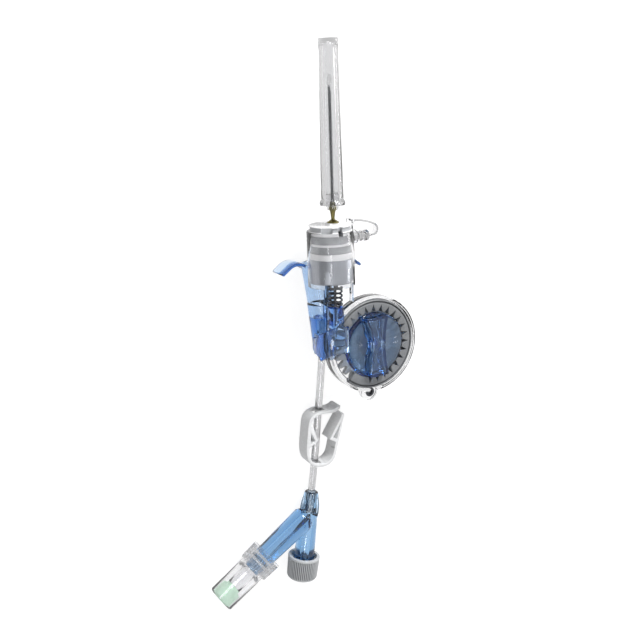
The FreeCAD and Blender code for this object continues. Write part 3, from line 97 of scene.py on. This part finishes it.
# The plunger gets painted shade in its grooves: grey up to the first radius, white from the second, and
# white above its rim
GROOVE_SHADE_UP_TO_R = 6.4
WHITE_FROM_R = 6.6
RIM_BLEND = 0.1

# Film of air that keeps the faces of touching clear pieces apart, in millimetres
AIR = 0.02

# Edges that turn by more than the first angle are rounded, and flat faces within the second are joined
ROUND_OVER_DEG = 38.0
FLAT_WITHIN_DEG = 0.6

# Return spring: its two ends along the needle, its radius and the radius of its wire
SPRING_FROM = 14.66
SPRING_TO = 22.04
SPRING_R = 2.15
SPRING_WIRE = 0.3

# Extension tube: its radii in millimetres, its length in metres and its route
TUBE_R = 1.25
TUBE_BORE_R = 0.75
TUBE_ROUTE = (
    mm(0.0, 8.5, LINE_Z),
    mm(0.0, -0.5, LINE_Z),
    mm(-1.92, -18.0, LINE_Z),
    mm(-5.1342, -44.9802, LINE_Z),
    mm(-7.2835, -58.1054, LINE_Z),
)

# Connector: its top, its two directions, and where its caps sit along them
CONN_TOP = Vector((-6.12, -51.0, LINE_Z))
CONN_LEAN = 9.3
ARM_TURN = 47.5
ARM_FROM = 8.0
VENT_FROM = 23.2
LOCK_FROM = 19.2
RUN_DIR = heading(CONN_LEAN)
ARM_DIR = heading(CONN_LEAN + ARM_TURN)
ARM_ROOT = CONN_TOP + RUN_DIR * ARM_FROM
NEEDLE_DIR = Vector((0.0, 1.0, 0.0))

# Outlines of the turned pieces, as radius and height, and the span and depth of their ribs
VENT_OUTLINE = (
    (0.0, 5.0), (3.62, 5.0), (3.62, 2.2), (4.35, 1.6), (4.35, 0.1), (4.45, 0.0),
    (5.3, 0.0), (5.45, 0.15), (5.45, 0.75), (5.28, 0.85), (5.18, 0.95),
    (4.95, 7.2), (5.0, 7.3), (4.95, 7.65), (4.6, 8.0), (3.6, 8.0), (3.4, 7.8), (0.0, 7.8),
)
VENT_RIB_SPAN = (0.9, 7.25)
VENT_RIB_DEEP = 0.24
LOCK_OUTLINE = (
    (4.85, 0.0), (5.6, 0.0), (5.75, 0.15), (5.75, 0.7), (5.55, 0.8),
    (5.35, 6.2), (5.5, 6.3), (5.4, 6.7), (5.25, 6.8), (4.76, 6.8), (4.76, 5.8), (4.85, 5.7),
    (4.85, 4.4), (4.55, 4.1), (4.55, 3.9), (4.85, 3.6),
    (4.85, 2.4), (4.55, 2.1), (4.55, 1.9), (4.85, 1.6),
)
LOCK_RIB_SPAN = (0.75, 6.25)
LOCK_RIB_DEEP = 0.18

# Camera as fitted to the photograph
CAMERA_AT = mm(-128.397, 85.311, 250.19)
CAMERA_RIGHT = Vector((0.88168, -0.03201, 0.47077))
CAMERA_UP = Vector((0.15437, 0.96236, -0.22367))
SENSOR_MM = 36.0
NEAR_M = 0.01

# Lamps: name, place, width of the disc in metres, power in watts. All look at one point
LAMPS = (
    ("key_light", mm(110, 420, 280), 0.22, 2.6),
    ("rim_light", mm(420, 90, 150), 0.16, 0.4),
    ("fill_light", mm(-240, -130, 400), 0.14, 0.4),
)
LAMPS_LOOK_AT = mm(0, 0, 10)
FLOOR_HALF_M = 2.0

# The studio's bright side as clear and glossy pieces see it, and where along it dark and bright are reached
BRIGHT_SIDE = (0.75, 0.1, 0.65)
DARK_UP_TO = -0.45
BRIGHT_FROM = 0.35


def linear(hex_text):
    """An sRGB hex colour as linear values with alpha."""
    values = [int(hex_text[i:i + 2], 16) / 255 for i in (1, 3, 5)]
    return tuple(v / 12.92 if v <= 0.04045 else ((v + 0.055) / 1.055) ** 2.4 for v in values) + (1.0,)


def colour_choice(title, tells, hex_text):
    """A colour that a user can change, with its sRGB hex value as the default."""
    return FloatVectorProperty(name=title, description=tells, subtype="COLOR",
                               default=linear(hex_text)[:3], min=0, max=1)


class CannulaSizes(PropertyGroup):
    """Counts that a user would change."""
    cap_ribs: IntProperty(
        name="Cap ribs", description="Ribs on the vent cap", default=50, min=12, max=90)
    collar_ribs: IntProperty(
        name="Collar ribs", description="Ribs on the lock collar", default=36, min=12, max=72)
    spring_turns: IntProperty(
        name="Spring turns", description="Turns of the return spring", default=5, min=3, max=9)


class CannulaColours(PropertyGroup):
    """Colours that differ from one make to the next, and the vent cap's painted shade and highlight."""
    body_blue: colour_choice("Body blue", "Tint deep inside the winged body and the knob", "#05A9E4")
    connector_blue: colour_choice("Connector blue", "Tint deep inside the connector", "#0AAFDE")
    stopper_dark: colour_choice("Stopper, darker", "Darker tone of the stopper", "#CDEDD7")
    stopper_light: colour_choice("Stopper, lighter", "Lighter tone of the stopper", "#D9F5E1")
    # The cap's valley colour is painted shade and its rib colour is a painted highlight on its grey
    cap_valley_painted_shade: colour_choice("Cap valleys", "Colour between the vent cap's ribs", "#66686C")
    cap_rib: colour_choice("Cap ribs", "Colour on the vent cap's ribs", "#C2C4C6")


class CannulaStage(PropertyGroup):
    """Light, floor and lens."""
    floor_colour: colour_choice("Floor", "Colour of the floor", "#989898")
    floor_lift: FloatProperty(
        name="Floor lift", description="Extra white of the floor where it is seen", default=0.84, min=0)
    world_level: FloatProperty(
        name="Ambient light", description="Strength of the even light", default=0.45, min=0)
    horizon_level: FloatProperty(
        name="Dark side", description="Strength of the studio's dark side, as mirrored", default=0.42, min=0)
    lens: FloatProperty(
        name="Lens", description="Focal length of the camera", default=50.0, min=10, unit="CAMERA")


# Materials


def add_node(tree, kind, settings=None, links=()):
    """Adds a node, sets its properties and sockets, and links what feeds it."""
    node = tree.nodes.new(kind)
    for key, value in (settings or {}).items():
        if isinstance(key, int) or key in node.inputs:
            node.inputs[key].default_value = value
        else:
            setattr(node, key, value)
    for source, output, target in links:
        tree.links.new(source.outputs[output], node.inputs[target])
    return node


def new_material(name, sockets):
    """A Principled surface on an empty tree."""
    made = bpy.data.materials.new(name)
    made.use_nodes = True
    tree = made.node_tree
    tree.nodes.clear()
    shader = add_node(tree, "ShaderNodeBsdfPrincipled", sockets)
    add_node(tree, "ShaderNodeOutputMaterial", links=[(shader, "BSDF", "Surface")])
    return made, tree, shader


def moulded_grain(tree, shader, grain_mm, height_mm):
    """Fine unevenness of a moulded skin, as a bump on object coordinates."""
    place = add_node(tree, "ShaderNodeTexCoord")
    noise = add_node(tree, "ShaderNodeTexNoise", {"Scale": 1000.0 / grain_mm, "Detail": 3.0},
                     [(place, "Object", "Vector")])
    bump = add_node(tree, "ShaderNodeBump", {"Strength": 1.0, "Distance": height_mm * MM},
                    [(noise, "Fac", "Height")])
    tree.links.new(bump.outputs["Normal"], shader.inputs["Normal"])
    return noise


def uneven_roughness(tree, shader, noise, low, high):
    """Lets the gloss wander between two values with the same noise."""
    spread = add_node(tree, "ShaderNodeMapRange", {"To Min": low, "To Max": high},
                      [(noise, "Fac", "Value")])
    tree.links.new(spread.outputs["Result"], shader.inputs["Roughness"])


def two_tones(tree, shader, source, output, first, second, low=0.0, high=1.0):
    """Lets the colour go from one tone to another as a value goes from low to high."""
    ramp = add_node(tree, "ShaderNodeValToRGB", links=[(source, output, "Fac")])
    for stop, position, tone in zip(ramp.color_ramp.elements, (low, high), (first, second)):
        stop.position = position
        stop.color = tone
    tree.links.new(ramp.outputs["Color"], shader.inputs["Base Color"])


def see_through(name, tint, roughness, ior, grain_mm, height_mm, depth_colour, density):
    """A see-through plastic, shaded by how far light runs in it, with the slow waves of a moulded wall."""
    made, tree, shader = new_material(name, {"Base Color": tint, "IOR": ior, "Transmission Weight": 1.0})
    noise = moulded_grain(tree, shader, grain_mm, height_mm)
    uneven_roughness(tree, shader, noise, roughness * 0.7, roughness * 1.3)
    depth = add_node(tree, "ShaderNodeVolumeAbsorption", {"Color": depth_colour, "Density": density})
    tree.links.new(depth.outputs["Volume"], tree.get_output_node("ALL").inputs["Volume"])
    return made, tree, shader


def opaque_plastic(name, first, second, low, high, grain_mm=0.6, height_mm=0.004):
    """An opaque moulded plastic with a fine grain, and a tone and a gloss that wander a little."""
    made, tree, shader = new_material(name, {"IOR": 1.5})
    noise = moulded_grain(tree, shader, grain_mm, height_mm)
    uneven_roughness(tree, shader, noise, low, high)
    two_tones(tree, shader, noise, "Fac", first, second, 0.35, 0.65)
    return made


def drawn_metal(name, first, second, low, high, across_mm=0.08, along_mm=6.0):
    """A drawn or turned metal. Its lines run with the needle and are coarser than real ones, to show."""
    made, tree, shader = new_material(name, {"Metallic": 1.0})
    place = add_node(tree, "ShaderNodeTexCoord")
    lines = add_node(tree, "ShaderNodeMapping", {
        "Scale": (1000 / across_mm, 1000 / along_mm, 1000 / across_mm)}, [(place, "Object", "Vector")])
    noise = add_node(tree, "ShaderNodeTexNoise", {"Scale": 1.0, "Detail": 2.0},
                     [(lines, "Vector", "Vector")])
    uneven_roughness(tree, shader, noise, low, high)
    two_tones(tree, shader, noise, "Fac", first, second, 0.35, 0.65)
    return made


def paint_rib_shade(tree, shader, valley, rib):
    """Paints shade into the valleys between the ribs of a turned piece, by the mark that the piece carries.
    """
    mark = add_node(tree, "ShaderNodeAttribute", {"attribute_name": "ridge"})
    two_tones(tree, shader, mark, "Fac", valley, rib)


def chosen(colour):
    """The value of one of the colours that a user can change, with alpha."""
    return tuple(getattr(bpy.context.scene.cannula_colours, colour)) + (1.0,)


def shield_plastic():
    """Clear moulded polycarbonate of the shield, grey where light runs along its wall."""
    return see_through("clear_polycarbonate_shield", linear("#F2F2F3"), 0.05, 1.45, 9.0, 0.0008,
                       linear("#000000"), 130.0)[0]


def clear_plastic():
    """Clear moulded polycarbonate of the barrel, dial housing, caps and hub, glossy with grey edges."""
    return see_through("clear_polycarbonate_moulded", linear("#FAFAFB"), 0.03, 1.45, 9.0, 0.0008,
                       linear("#000000"), 25.0)[0]


def ribbed_clear_plastic():
    """The same clear polycarbonate on the lock collar, with painted shade between its ribs."""
    made, tree, shader = see_through("clear_polycarbonate_ribbed", linear("#FAFAFB"), 0.03, 1.45, 9.0,
                                     0.0008, linear("#000000"), 25.0)
    # Painted shade in the valleys, the clear wall's own white on the ribs
    paint_rib_shade(tree, shader, linear("#B4B6BA"), linear("#F8F8F9"))
    return made


def soft_vinyl():
    """Soft clear vinyl, extruded and slightly hazy, for the tube, strap and plug."""
    return see_through("soft_clear_vinyl_extruded", linear("#F4F4F5"), 0.06, 1.4, 6.0, 0.0006,
                       linear("#000000"), 230.0)[0]


def milky_polymer():
    """Extruded fluoropolymer of the catheter, translucent white and waxy."""
    return see_through("milky_fluoropolymer_extruded", linear("#F6F6F6"), 0.08, 1.35, 1.2, 0.001,
                       linear("#303030"), 120.0)[0]


def body_plastic():
    """Blue tinted polycarbonate of the winged body, knob and pin, deeper where it is thick."""
    return see_through("blue_polycarbonate_moulded", linear("#F2F6FB"), 0.04, 1.5, 6.0, 0.001,
                       chosen("body_blue"), 370.0)[0]


def connector_plastic():
    """The same blue polycarbonate on the connector, paler."""
    return see_through("pale_blue_polycarbonate_moulded", linear("#F2F6FB"), 0.04, 1.5, 6.0, 0.001,
                       chosen("connector_blue"), 235.0)[0]


def plunger_plastic():
    """White moulded ABS of the plunger, with painted shade in its grooves, which are grey beside its raised
    rings.
    """
    made, tree, shader = new_material("white_abs_ringed", {"IOR": 1.5})
    noise = moulded_grain(tree, shader, 0.6, 0.004)
    uneven_roughness(tree, shader, noise, 0.2, 0.32)
    place = add_node(tree, "ShaderNodeTexCoord")
    flat = add_node(tree, "ShaderNodeMapping", {"Scale": (1, 0, 1)}, [(place, "Object", "Vector")])
    away = add_node(tree, "ShaderNodeVectorMath", {"operation": "DISTANCE", 1: mm(0, 0, BARREL_Z)},
                    [(flat, "Vector", 0)])
    ring = add_node(tree, "ShaderNodeMapRange", {
        "From Min": GROOVE_SHADE_UP_TO_R * MM, "From Max": WHITE_FROM_R * MM}, [(away, "Value", "Value")])
    parts = add_node(tree, "ShaderNodeSeparateXYZ", links=[(place, "Object", "Vector")])
    rim = add_node(tree, "ShaderNodeMapRange", {
        "From Min": PLUNGER_RIM * MM, "From Max": (PLUNGER_RIM + RIM_BLEND) * MM}, [(parts, "Y", "Value")])
    unshaded_part = add_node(tree, "ShaderNodeMath", {"operation": "MAXIMUM"},
                      [(ring, "Result", 0), (rim, "Result", 1)])
    share = add_node(tree, "ShaderNodeMath", {"operation": "MULTIPLY", 1: 0.9}, [(unshaded_part, "Value", 0)])
    mixed = add_node(tree, "ShaderNodeMath", {"operation": "MULTIPLY_ADD", 1: 0.1},
                     [(noise, "Fac", 0), (share, "Value", 2)])
    # Painted shade: grey in the grooves, the plunger's own white on the rings and above the rim
    two_tones(tree, shader, mixed, "Value", linear("#A4A6A9"), linear("#FAFAFB"))
    return made


def ring_plastic():
    """Mid grey moulded ABS of the index ring, satin."""
    return opaque_plastic("grey_abs_moulded", linear("#717376"), linear("#7F8184"), 0.32, 0.45)


def gear_plastic():
    """Grey moulded acetal of the drive gear, satin."""
    return opaque_plastic("grey_acetal_moulded", linear("#9B9DA1"), linear("#A9ABAE"), 0.32, 0.45)


def clamp_plastic():
    """Pale moulded acetal of the pinch clamp, waxy."""
    return opaque_plastic("pale_acetal_moulded", linear("#DEDFE0"), linear("#E8E9EA"), 0.3, 0.42)


def cap_plastic():
    """Grey moulded polypropylene of the vent cap, with painted shade between its ribs and a painted
    highlight on its ribs and rim.
    """
    made, tree, shader = new_material("grey_polypropylene_moulded", {"IOR": 1.5})
    noise = moulded_grain(tree, shader, 0.6, 0.004)
    uneven_roughness(tree, shader, noise, 0.35, 0.5)
    # Painted shade in the valleys, painted highlight on the ribs and rim
    paint_rib_shade(tree, shader, chosen("cap_valley_painted_shade"), chosen("cap_rib"))
    return made


def stopper_rubber():
    """Pale green moulded elastomer of the stopper, matte."""
    return opaque_plastic("green_elastomer_moulded", chosen("stopper_dark"), chosen("stopper_light"),
                          0.5, 0.7, 0.9, 0.002)


def needle_steel():
    """Drawn stainless steel of the needle and the wire, dark with long highlights."""
    return drawn_metal("stainless_steel_drawn", linear("#5C5E62"), linear("#74767A"), 0.16, 0.28)


def spring_steel():
    """Coiled stainless wire of the spring, and the eyelet, darker."""
    return drawn_metal("spring_steel_coiled", linear("#3E3F43"), linear("#55575B"), 0.14, 0.24)


def satin_steel():
    """Brushed steel of the cup below the plunger, soft and nearly matte."""
    return drawn_metal("satin_steel_brushed", linear("#A0A3AA"), linear("#AEB1B7"), 0.42, 0.55)


def dull_brass():
    """Turned brass of the ferrule, dull."""
    return drawn_metal("dull_brass_turned", linear("#5E5836"), linear("#777046"), 0.22, 0.34)


MADE = {}


def made_once(maker):
    """The material that a maker gives, made when it is first asked for."""
    if maker.__name__ not in MADE:
        MADE[maker.__name__] = maker()
    return MADE[maker.__name__]


# Meshes


def body_of_node(node):
    """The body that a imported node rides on."""
    return frame["nodes"][node]["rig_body"]


def finish_mesh(bm, name, sharp=35.0):
    """Merges, orients and smooths a mesh, and makes its object."""
    bmesh.ops.remove_doubles(bm, verts=bm.verts, dist=1e-7)
    bmesh.ops.recalc_face_normals(bm, faces=bm.faces)
    mesh = bpy.data.meshes.new(name)
    bm.to_mesh(mesh)
    bm.free()
    for polygon in mesh.polygons:
        polygon.use_smooth = True
    mesh.set_sharp_from_angle(angle=math.radians(sharp))
    obj = bpy.data.objects.new(name, mesh)
    bpy.context.scene.collection.objects.link(obj)
    return obj


def dress(obj, maker, node, bent=False):
    """Gives a piece its material and, unless it is flagged as bent, its body, and hides the node that it
    stands for.
    """
    obj.data.materials.append(made_once(maker))
    if not bent:
        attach(obj, body_of_node(node))
    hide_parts(node)
    return obj


def ease(bm):
    """Draws a skin in by a hair, so that touching pieces keep the film of air between them."""
    bm.normal_update()
    for v in bm.verts:
        v.co -= v.normal * AIR * MM


def soften(bm, width_mm):
    """Rounds the sharp edges of a mesh with two narrow facets."""
    bmesh.ops.remove_doubles(bm, verts=bm.verts, dist=0.02 * MM)
    bmesh.ops.dissolve_limit(bm, angle_limit=math.radians(FLAT_WITHIN_DEG), verts=bm.verts, edges=bm.edges)
    limit = math.radians(ROUND_OVER_DEG)
    edges = [e for e in bm.edges if len(e.link_faces) == 2 and e.calc_face_angle(0.0) > limit]
    bmesh.ops.bevel(bm, geom=edges, offset=width_mm * MM, offset_type="OFFSET", segments=2,
                    profile=0.5, affect="EDGES", clamp_overlap=False, material=-1)


def from_cad(node, maker, round_mm=0.0, sharp=35.0, bent=False):
    """A merged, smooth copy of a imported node, with its edges rounded."""
    bm = bmesh.new()
    bm.from_mesh(frame["nodes"][node].data)
    bmesh.ops.remove_doubles(bm, verts=bm.verts, dist=2e-6)
    ease(bm)
    if round_mm:
        soften(bm, round_mm)
    return dress(finish_mesh(bm, node + "_skin", sharp), maker, node, bent)


def laid_along(start, direction):
    """The turn and shift that lay an upright shape along a direction."""
    turn = UPRIGHT.rotation_difference(direction.normalized()).to_matrix().to_4x4()
    return Matrix.Translation(start) @ turn


def turned_with_ribs(name, outline, start, direction, ribs, rib_span, rib_deep):
    """Spins an outline about an axis and raises ribs outside, marking ribs 1 and valleys 0 for painted shade
    in the valleys.
    """
    steps = 4 * ribs
    bm = bmesh.new()
    verts = [bm.verts.new((r * MM, 0.0, h * MM)) for r, h in outline]
    edges = [bm.edges.new((a, b)) for a, b in zip(verts, verts[1:])]
    if outline[0][0] > 0:
        edges.append(bm.edges.new((verts[-1], verts[0])))
    bmesh.ops.spin(bm, geom=verts + edges, cent=(0, 0, 0), axis=(0, 0, 1), dvec=(0, 0, 0),
                   angle=math.tau, steps=steps, use_merge=True, use_duplicate=False)
    ridge = bm.verts.layers.float.new("ridge")
    widest = max(r for r, h in outline) * MM
    low, high = rib_span
    for v in bm.verts:
        column = round(math.atan2(v.co.y, v.co.x) / math.tau * steps) % 4
        out = Vector((v.co.x, v.co.y, 0.0))
        v[ridge] = 1.0
        if low * MM < v.co.z < high * MM and out.length > 0.9 * widest:
            v[ridge] = float(column in (1, 2))
            v.co += out.normalized() * rib_deep * v[ridge] * MM
    bmesh.ops.transform(bm, matrix=laid_along(start * MM, direction), verts=bm.verts)
    bmesh.ops.recalc_face_normals(bm, faces=bm.faces)
    ease(bm)
    return finish_mesh(bm, name)


def coil(name, turns):
    """The return spring's round wire about the needle's line, with a closed turn at each end."""
    steps = 40
    closed = 2 * SPRING_WIRE
    pitch = (SPRING_TO - SPRING_FROM - 3 * closed) / (turns - 1)
    bm = bmesh.new()
    wire = bmesh.ops.create_circle(bm, cap_ends=True, segments=12, radius=SPRING_WIRE * MM)["verts"]
    aside = Matrix.Translation(mm(SPRING_R, 0, 0)) @ Matrix.Rotation(math.pi / 2, 4, "X")
    bmesh.ops.transform(bm, matrix=aside, verts=wire)
    section = list(bm.faces)
    for rise, count in ((closed, 1), (pitch, turns - 1), (closed, 1)):
        made = bmesh.ops.spin(bm, geom=section, cent=(0, 0, 0), axis=(0, 0, 1),
                              dvec=mm(0, 0, rise / steps), angle=math.tau * count, steps=steps * count)
        section = [f for f in made["geom_last"] if isinstance(f, bmesh.types.BMFace)]
    bmesh.ops.transform(bm, matrix=laid_along(mm(0, SPRING_FROM, NEEDLE_Z), NEEDLE_DIR), verts=bm.verts)
    return finish_mesh(bm, name, sharp=50.0)


def tube_points():
    """The tube's middle line, read from the NURBS spline that has the route as its control points."""
    data = bpy.data.curves.new("tube_route", "CURVE")
    data.dimensions = "3D"
    line = data.splines.new("NURBS")
    line.points.add(len(TUBE_ROUTE) - 1)
    for point, place in zip(line.points, TUBE_ROUTE):
        point.co = (*place, 1.0)
    line.order_u = 3
    line.use_endpoint_u = True
    line.resolution_u = 16
    route = bpy.data.objects.new("tube_route", data)
    points = [v.co.copy() for v in bpy.data.meshes.new_from_object(route).vertices]
    bpy.data.objects.remove(route)
    return points


def tube_wall(name, points, radii, steps=28):
    """A tube with one wall for each radius in millimetres, along points in the plane of the table."""
    bm = bmesh.new()
    for radius in radii:
        rings = []
        for i, p in enumerate(points):
            ahead = points[min(i + 1, len(points) - 1)] - points[max(i - 1, 0)]
            side = Vector((-ahead.y, ahead.x, 0.0)).normalized()
            ring = []
            for k in range(steps):
                a = math.tau * k / steps
                ring.append(bm.verts.new(p + (side * math.cos(a) + UPRIGHT * math.sin(a)) * radius * MM))
            rings.append(ring)
        for low, high in zip(rings, rings[1:]):
            for k in range(steps):
                bm.faces.new((low[k], low[(k + 1) % steps], high[(k + 1) % steps], high[k]))
    rims = [e for e in bm.edges if len(e.link_faces) == 1]
    for end in (points[0], points[-1]):
        near = [e for e in rims if (e.verts[0].co - end).length < 2 * max(radii) * MM]
        bmesh.ops.bridge_loops(bm, edges=near)
    bmesh.ops.recalc_face_normals(bm, faces=bm.faces)
    ease(bm)
    return finish_mesh(bm, name)


# Stage


def seen_rays(tree):
    """One where the camera, a reflection or a clear piece looks, and zero for the light on the object."""
    rays = add_node(tree, "ShaderNodeLightPath")
    seen = add_node(tree, "ShaderNodeMath", {"operation": "MAXIMUM"},
                    [(rays, "Is Camera Ray", 0), (rays, "Is Glossy Ray", 1)])
    return add_node(tree, "ShaderNodeMath", {"operation": "MAXIMUM"},
                    [(seen, "Value", 0), (rays, "Is Transmission Ray", 1)])


def add_camera(scene, lens):
    """The camera, in the place that the photograph was matched from."""
    data = bpy.data.cameras.new("photo_camera")
    data.lens = lens
    data.sensor_width = SENSOR_MM
    data.clip_start = NEAR_M
    camera = bpy.data.objects.new("photo_camera", data)
    turn = Matrix((CAMERA_RIGHT, CAMERA_UP, CAMERA_RIGHT.cross(CAMERA_UP))).transposed().to_4x4()
    camera.matrix_world = Matrix.Translation(CAMERA_AT) @ turn
    scene.collection.objects.link(camera)
    scene.camera = camera


def add_floor(stage):
    """White sweep paper that keeps the object's shadow and is lifted to white where it is seen."""
    bm = bmesh.new()
    bmesh.ops.create_grid(bm, x_segments=1, y_segments=1, size=FLOOR_HALF_M)
    floor = finish_mesh(bm, "floor")
    made, tree, shader = new_material("white_sweep_paper", {
        "Base Color": tuple(stage.floor_colour) + (1.0,), "Roughness": 0.7, "Specular IOR Level": 0.1,
        "Emission Color": (1, 1, 1, 1)})
    lift = add_node(tree, "ShaderNodeMath", {"operation": "MULTIPLY", 1: stage.floor_lift},
                    [(seen_rays(tree), "Value", 0)])
    tree.links.new(lift.outputs["Value"], shader.inputs["Emission Strength"])
    floor.data.materials.append(made)


def add_studio(scene, stage):
    """An even light on the object, and a white studio with one darker side for clear and glossy pieces."""
    world = bpy.data.worlds.new("studio")
    scene.world = world
    world.use_nodes = True
    tree = world.node_tree
    tree.nodes.clear()
    lit = add_node(tree, "ShaderNodeBackground", {"Color": (1, 1, 1, 1), "Strength": stage.world_level})
    place = add_node(tree, "ShaderNodeTexCoord")
    lean = add_node(tree, "ShaderNodeVectorMath", {"operation": "DOT_PRODUCT", 1: BRIGHT_SIDE},
                    [(place, "Generated", 0)])
    side = add_node(tree, "ShaderNodeMapRange", {
        "From Min": DARK_UP_TO, "From Max": BRIGHT_FROM, "To Min": stage.horizon_level, "To Max": 1.0},
        [(lean, "Value", "Value")])
    rays = add_node(tree, "ShaderNodeLightPath")
    level = add_node(tree, "ShaderNodeMath", {"operation": "MAXIMUM"},
                     [(side, "Result", 0), (rays, "Is Camera Ray", 1)])
    shown = add_node(tree, "ShaderNodeBackground", {"Color": (1, 1, 1, 1)}, [(level, "Value", "Strength")])
    mix = add_node(tree, "ShaderNodeMixShader", links=[
        (seen_rays(tree), "Value", 0), (lit, "Background", 1), (shown, "Background", 2)])
    add_node(tree, "ShaderNodeOutputWorld", links=[(mix, 0, "Surface")])


def add_lamp(scene, name, place, width, power):
    """A round area lamp."""
    data = bpy.data.lights.new(name, "AREA")
    data.shape = "DISK"
    data.size = width
    data.energy = power
    lamp = bpy.data.objects.new(name, data)
    aim = (LAMPS_LOOK_AT - place).to_track_quat("-Z", "Y")
    lamp.matrix_world = Matrix.Translation(place) @ aim.to_matrix().to_4x4()
    scene.collection.objects.link(lamp)


class CANNULA_OT_stage(Operator):
    """Camera, floor and light"""
    bl_idname = "cannula.stage"
    bl_label = "Stage"

    def execute(self, context):
        scene = context.scene
        stage = scene.cannula_stage
        scene.view_settings.view_transform = "Standard"
        add_camera(scene, stage.lens)
        add_floor(stage)
        add_studio(scene, stage)
        for lamp in LAMPS:
            add_lamp(scene, *lamp)
        return {"FINISHED"}


# Pieces


class CANNULA_OT_needle(Operator):
    """Shield, hub, catheter, needle and ferrule"""
    bl_idname = "cannula.needle"
    bl_label = "Needle and shield"

    def execute(self, context):
        from_cad("needle_shield", shield_plastic, round_mm=0.12)
        from_cad("catheter_hub", clear_plastic, round_mm=0.08)
        from_cad("catheter_tube", milky_polymer)
        from_cad("introducer_needle", needle_steel)
        from_cad("crimp_ferrule", dull_brass, round_mm=0.05, sharp=60.0)
        return {"FINISHED"}


class CANNULA_OT_barrel(Operator):
    """Barrel, plunger, spring, plug and tether"""
    bl_idname = "cannula.barrel"
    bl_label = "Barrel and plunger"

    def execute(self, context):
        from_cad("ringed_plunger", plunger_plastic, round_mm=0.08)
        from_cad("steel_sleeve", satin_steel, round_mm=0.08)
        from_cad("barrel_housing", clear_plastic, round_mm=0.08)
        from_cad("port_plug", soft_vinyl, round_mm=0.08)
        strap = from_cad("tether_strap", soft_vinyl, round_mm=0.1, bent=True)
        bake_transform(strap)
        spring = coil("return_spring_coil", context.scene.cannula_sizes.spring_turns)
        dress(spring, spring_steel, "return_spring", bent=True)
        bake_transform(spring)
        return {"FINISHED"}


class CANNULA_OT_body(Operator):
    """Blue winged body"""
    bl_idname = "cannula.body"
    bl_label = "Winged body"

    def execute(self, context):
        from_cad("winged_body", body_plastic, round_mm=0.1)
        return {"FINISHED"}


class CANNULA_OT_dial(Operator):
    """Dial housing, ring, gear, knob, pin, wire and eyelet"""
    bl_idname = "cannula.dial"
    bl_label = "Dial"

    def execute(self, context):
        from_cad("dial_housing", clear_plastic, round_mm=0.1)
        from_cad("index_ring", ring_plastic, round_mm=0.06)
        from_cad("drive_gear", gear_plastic, round_mm=0.06)
        from_cad("dial_knob", body_plastic, round_mm=0.1)
        from_cad("axle_pin", body_plastic, round_mm=0.1)
        from_cad("guide_wire", needle_steel)
        from_cad("wire_tail", needle_steel)
        from_cad("lug_eyelet", spring_steel, round_mm=0.1)
        return {"FINISHED"}


class CANNULA_OT_connector(Operator):
    """Y connector and vent cap"""
    bl_idname = "cannula.connector"
    bl_label = "Connector"

    def execute(self, context):
        from_cad("y_connector", connector_plastic, round_mm=0.1)
        cap = turned_with_ribs("vent_cap_ribbed", VENT_OUTLINE, CONN_TOP + RUN_DIR * VENT_FROM, RUN_DIR,
                               context.scene.cannula_sizes.cap_ribs, VENT_RIB_SPAN, VENT_RIB_DEEP)
        dress(cap, cap_plastic, "vent_cap")
        return {"FINISHED"}


class CANNULA_OT_injection(Operator):
    """Lock collar and injection cap"""
    bl_idname = "cannula.injection"
    bl_label = "Injection cap"

    def execute(self, context):
        collar = turned_with_ribs("lock_collar_ribbed", LOCK_OUTLINE, ARM_ROOT + ARM_DIR * LOCK_FROM,
                                  ARM_DIR, context.scene.cannula_sizes.collar_ribs, LOCK_RIB_SPAN,
                                  LOCK_RIB_DEEP)
        dress(collar, ribbed_clear_plastic, "lock_collar")
        from_cad("injection_cap", clear_plastic, round_mm=0.1)
        from_cad("inner_sleeve", clear_plastic, round_mm=0.05)
        from_cad("green_stopper", stopper_rubber, round_mm=0.15)
        return {"FINISHED"}


class CANNULA_OT_tubing(Operator):
    """Pinch clamp and extension tube, once all that the tube carries is there"""
    bl_idname = "cannula.tubing"
    bl_label = "Tubing and clamp"

    def execute(self, context):
        from_cad("pinch_clamp", clamp_plastic, round_mm=0.12)
        points = tube_points()
        tube = tube_wall("extension_tube_wall", points, (TUBE_R, TUBE_BORE_R))
        dress(tube, soft_vinyl, "extension_tube")
        return {"FINISHED"}


class CANNULA_PT_panel(Panel):
    """Lists the steps that dress the set, and what a user can change"""
    bl_idname = "CANNULA_PT_panel"
    bl_label = "Cannula"
    bl_space_type = "VIEW_3D"
    bl_region_type = "UI"
    bl_category = "Cannula"

    def draw(self, context):
        for step in STEPS:
            self.layout.operator(step.bl_idname)
        for name, kind in GROUPS.items():
            for setting in kind.__annotations__:
                self.layout.prop(getattr(context.scene, name), setting)


STEPS = (
    CANNULA_OT_stage,
    CANNULA_OT_needle,
    CANNULA_OT_barrel,
    CANNULA_OT_body,
    CANNULA_OT_dial,
    CANNULA_OT_connector,
    CANNULA_OT_injection,
    CANNULA_OT_tubing,
)
GROUPS = {
    "cannula_sizes": CannulaSizes,
    "cannula_colours": CannulaColours,
    "cannula_stage": CannulaStage,
}
CLASSES = (*GROUPS.values(), *STEPS, CANNULA_PT_panel)


def register():
    for cls in CLASSES:
        bpy.utils.register_class(cls)
    for name, kind in GROUPS.items():
        setattr(bpy.types.Scene, name, PointerProperty(type=kind))


def unregister():
    for name in GROUPS:
        delattr(bpy.types.Scene, name)
    for cls in reversed(CLASSES):
        bpy.utils.unregister_class(cls)


def main():
    register()
    for step in STEPS:
        getattr(bpy.ops.cannula, step.bl_idname.split(".")[1])()


if __name__ == "__main__":
    main()
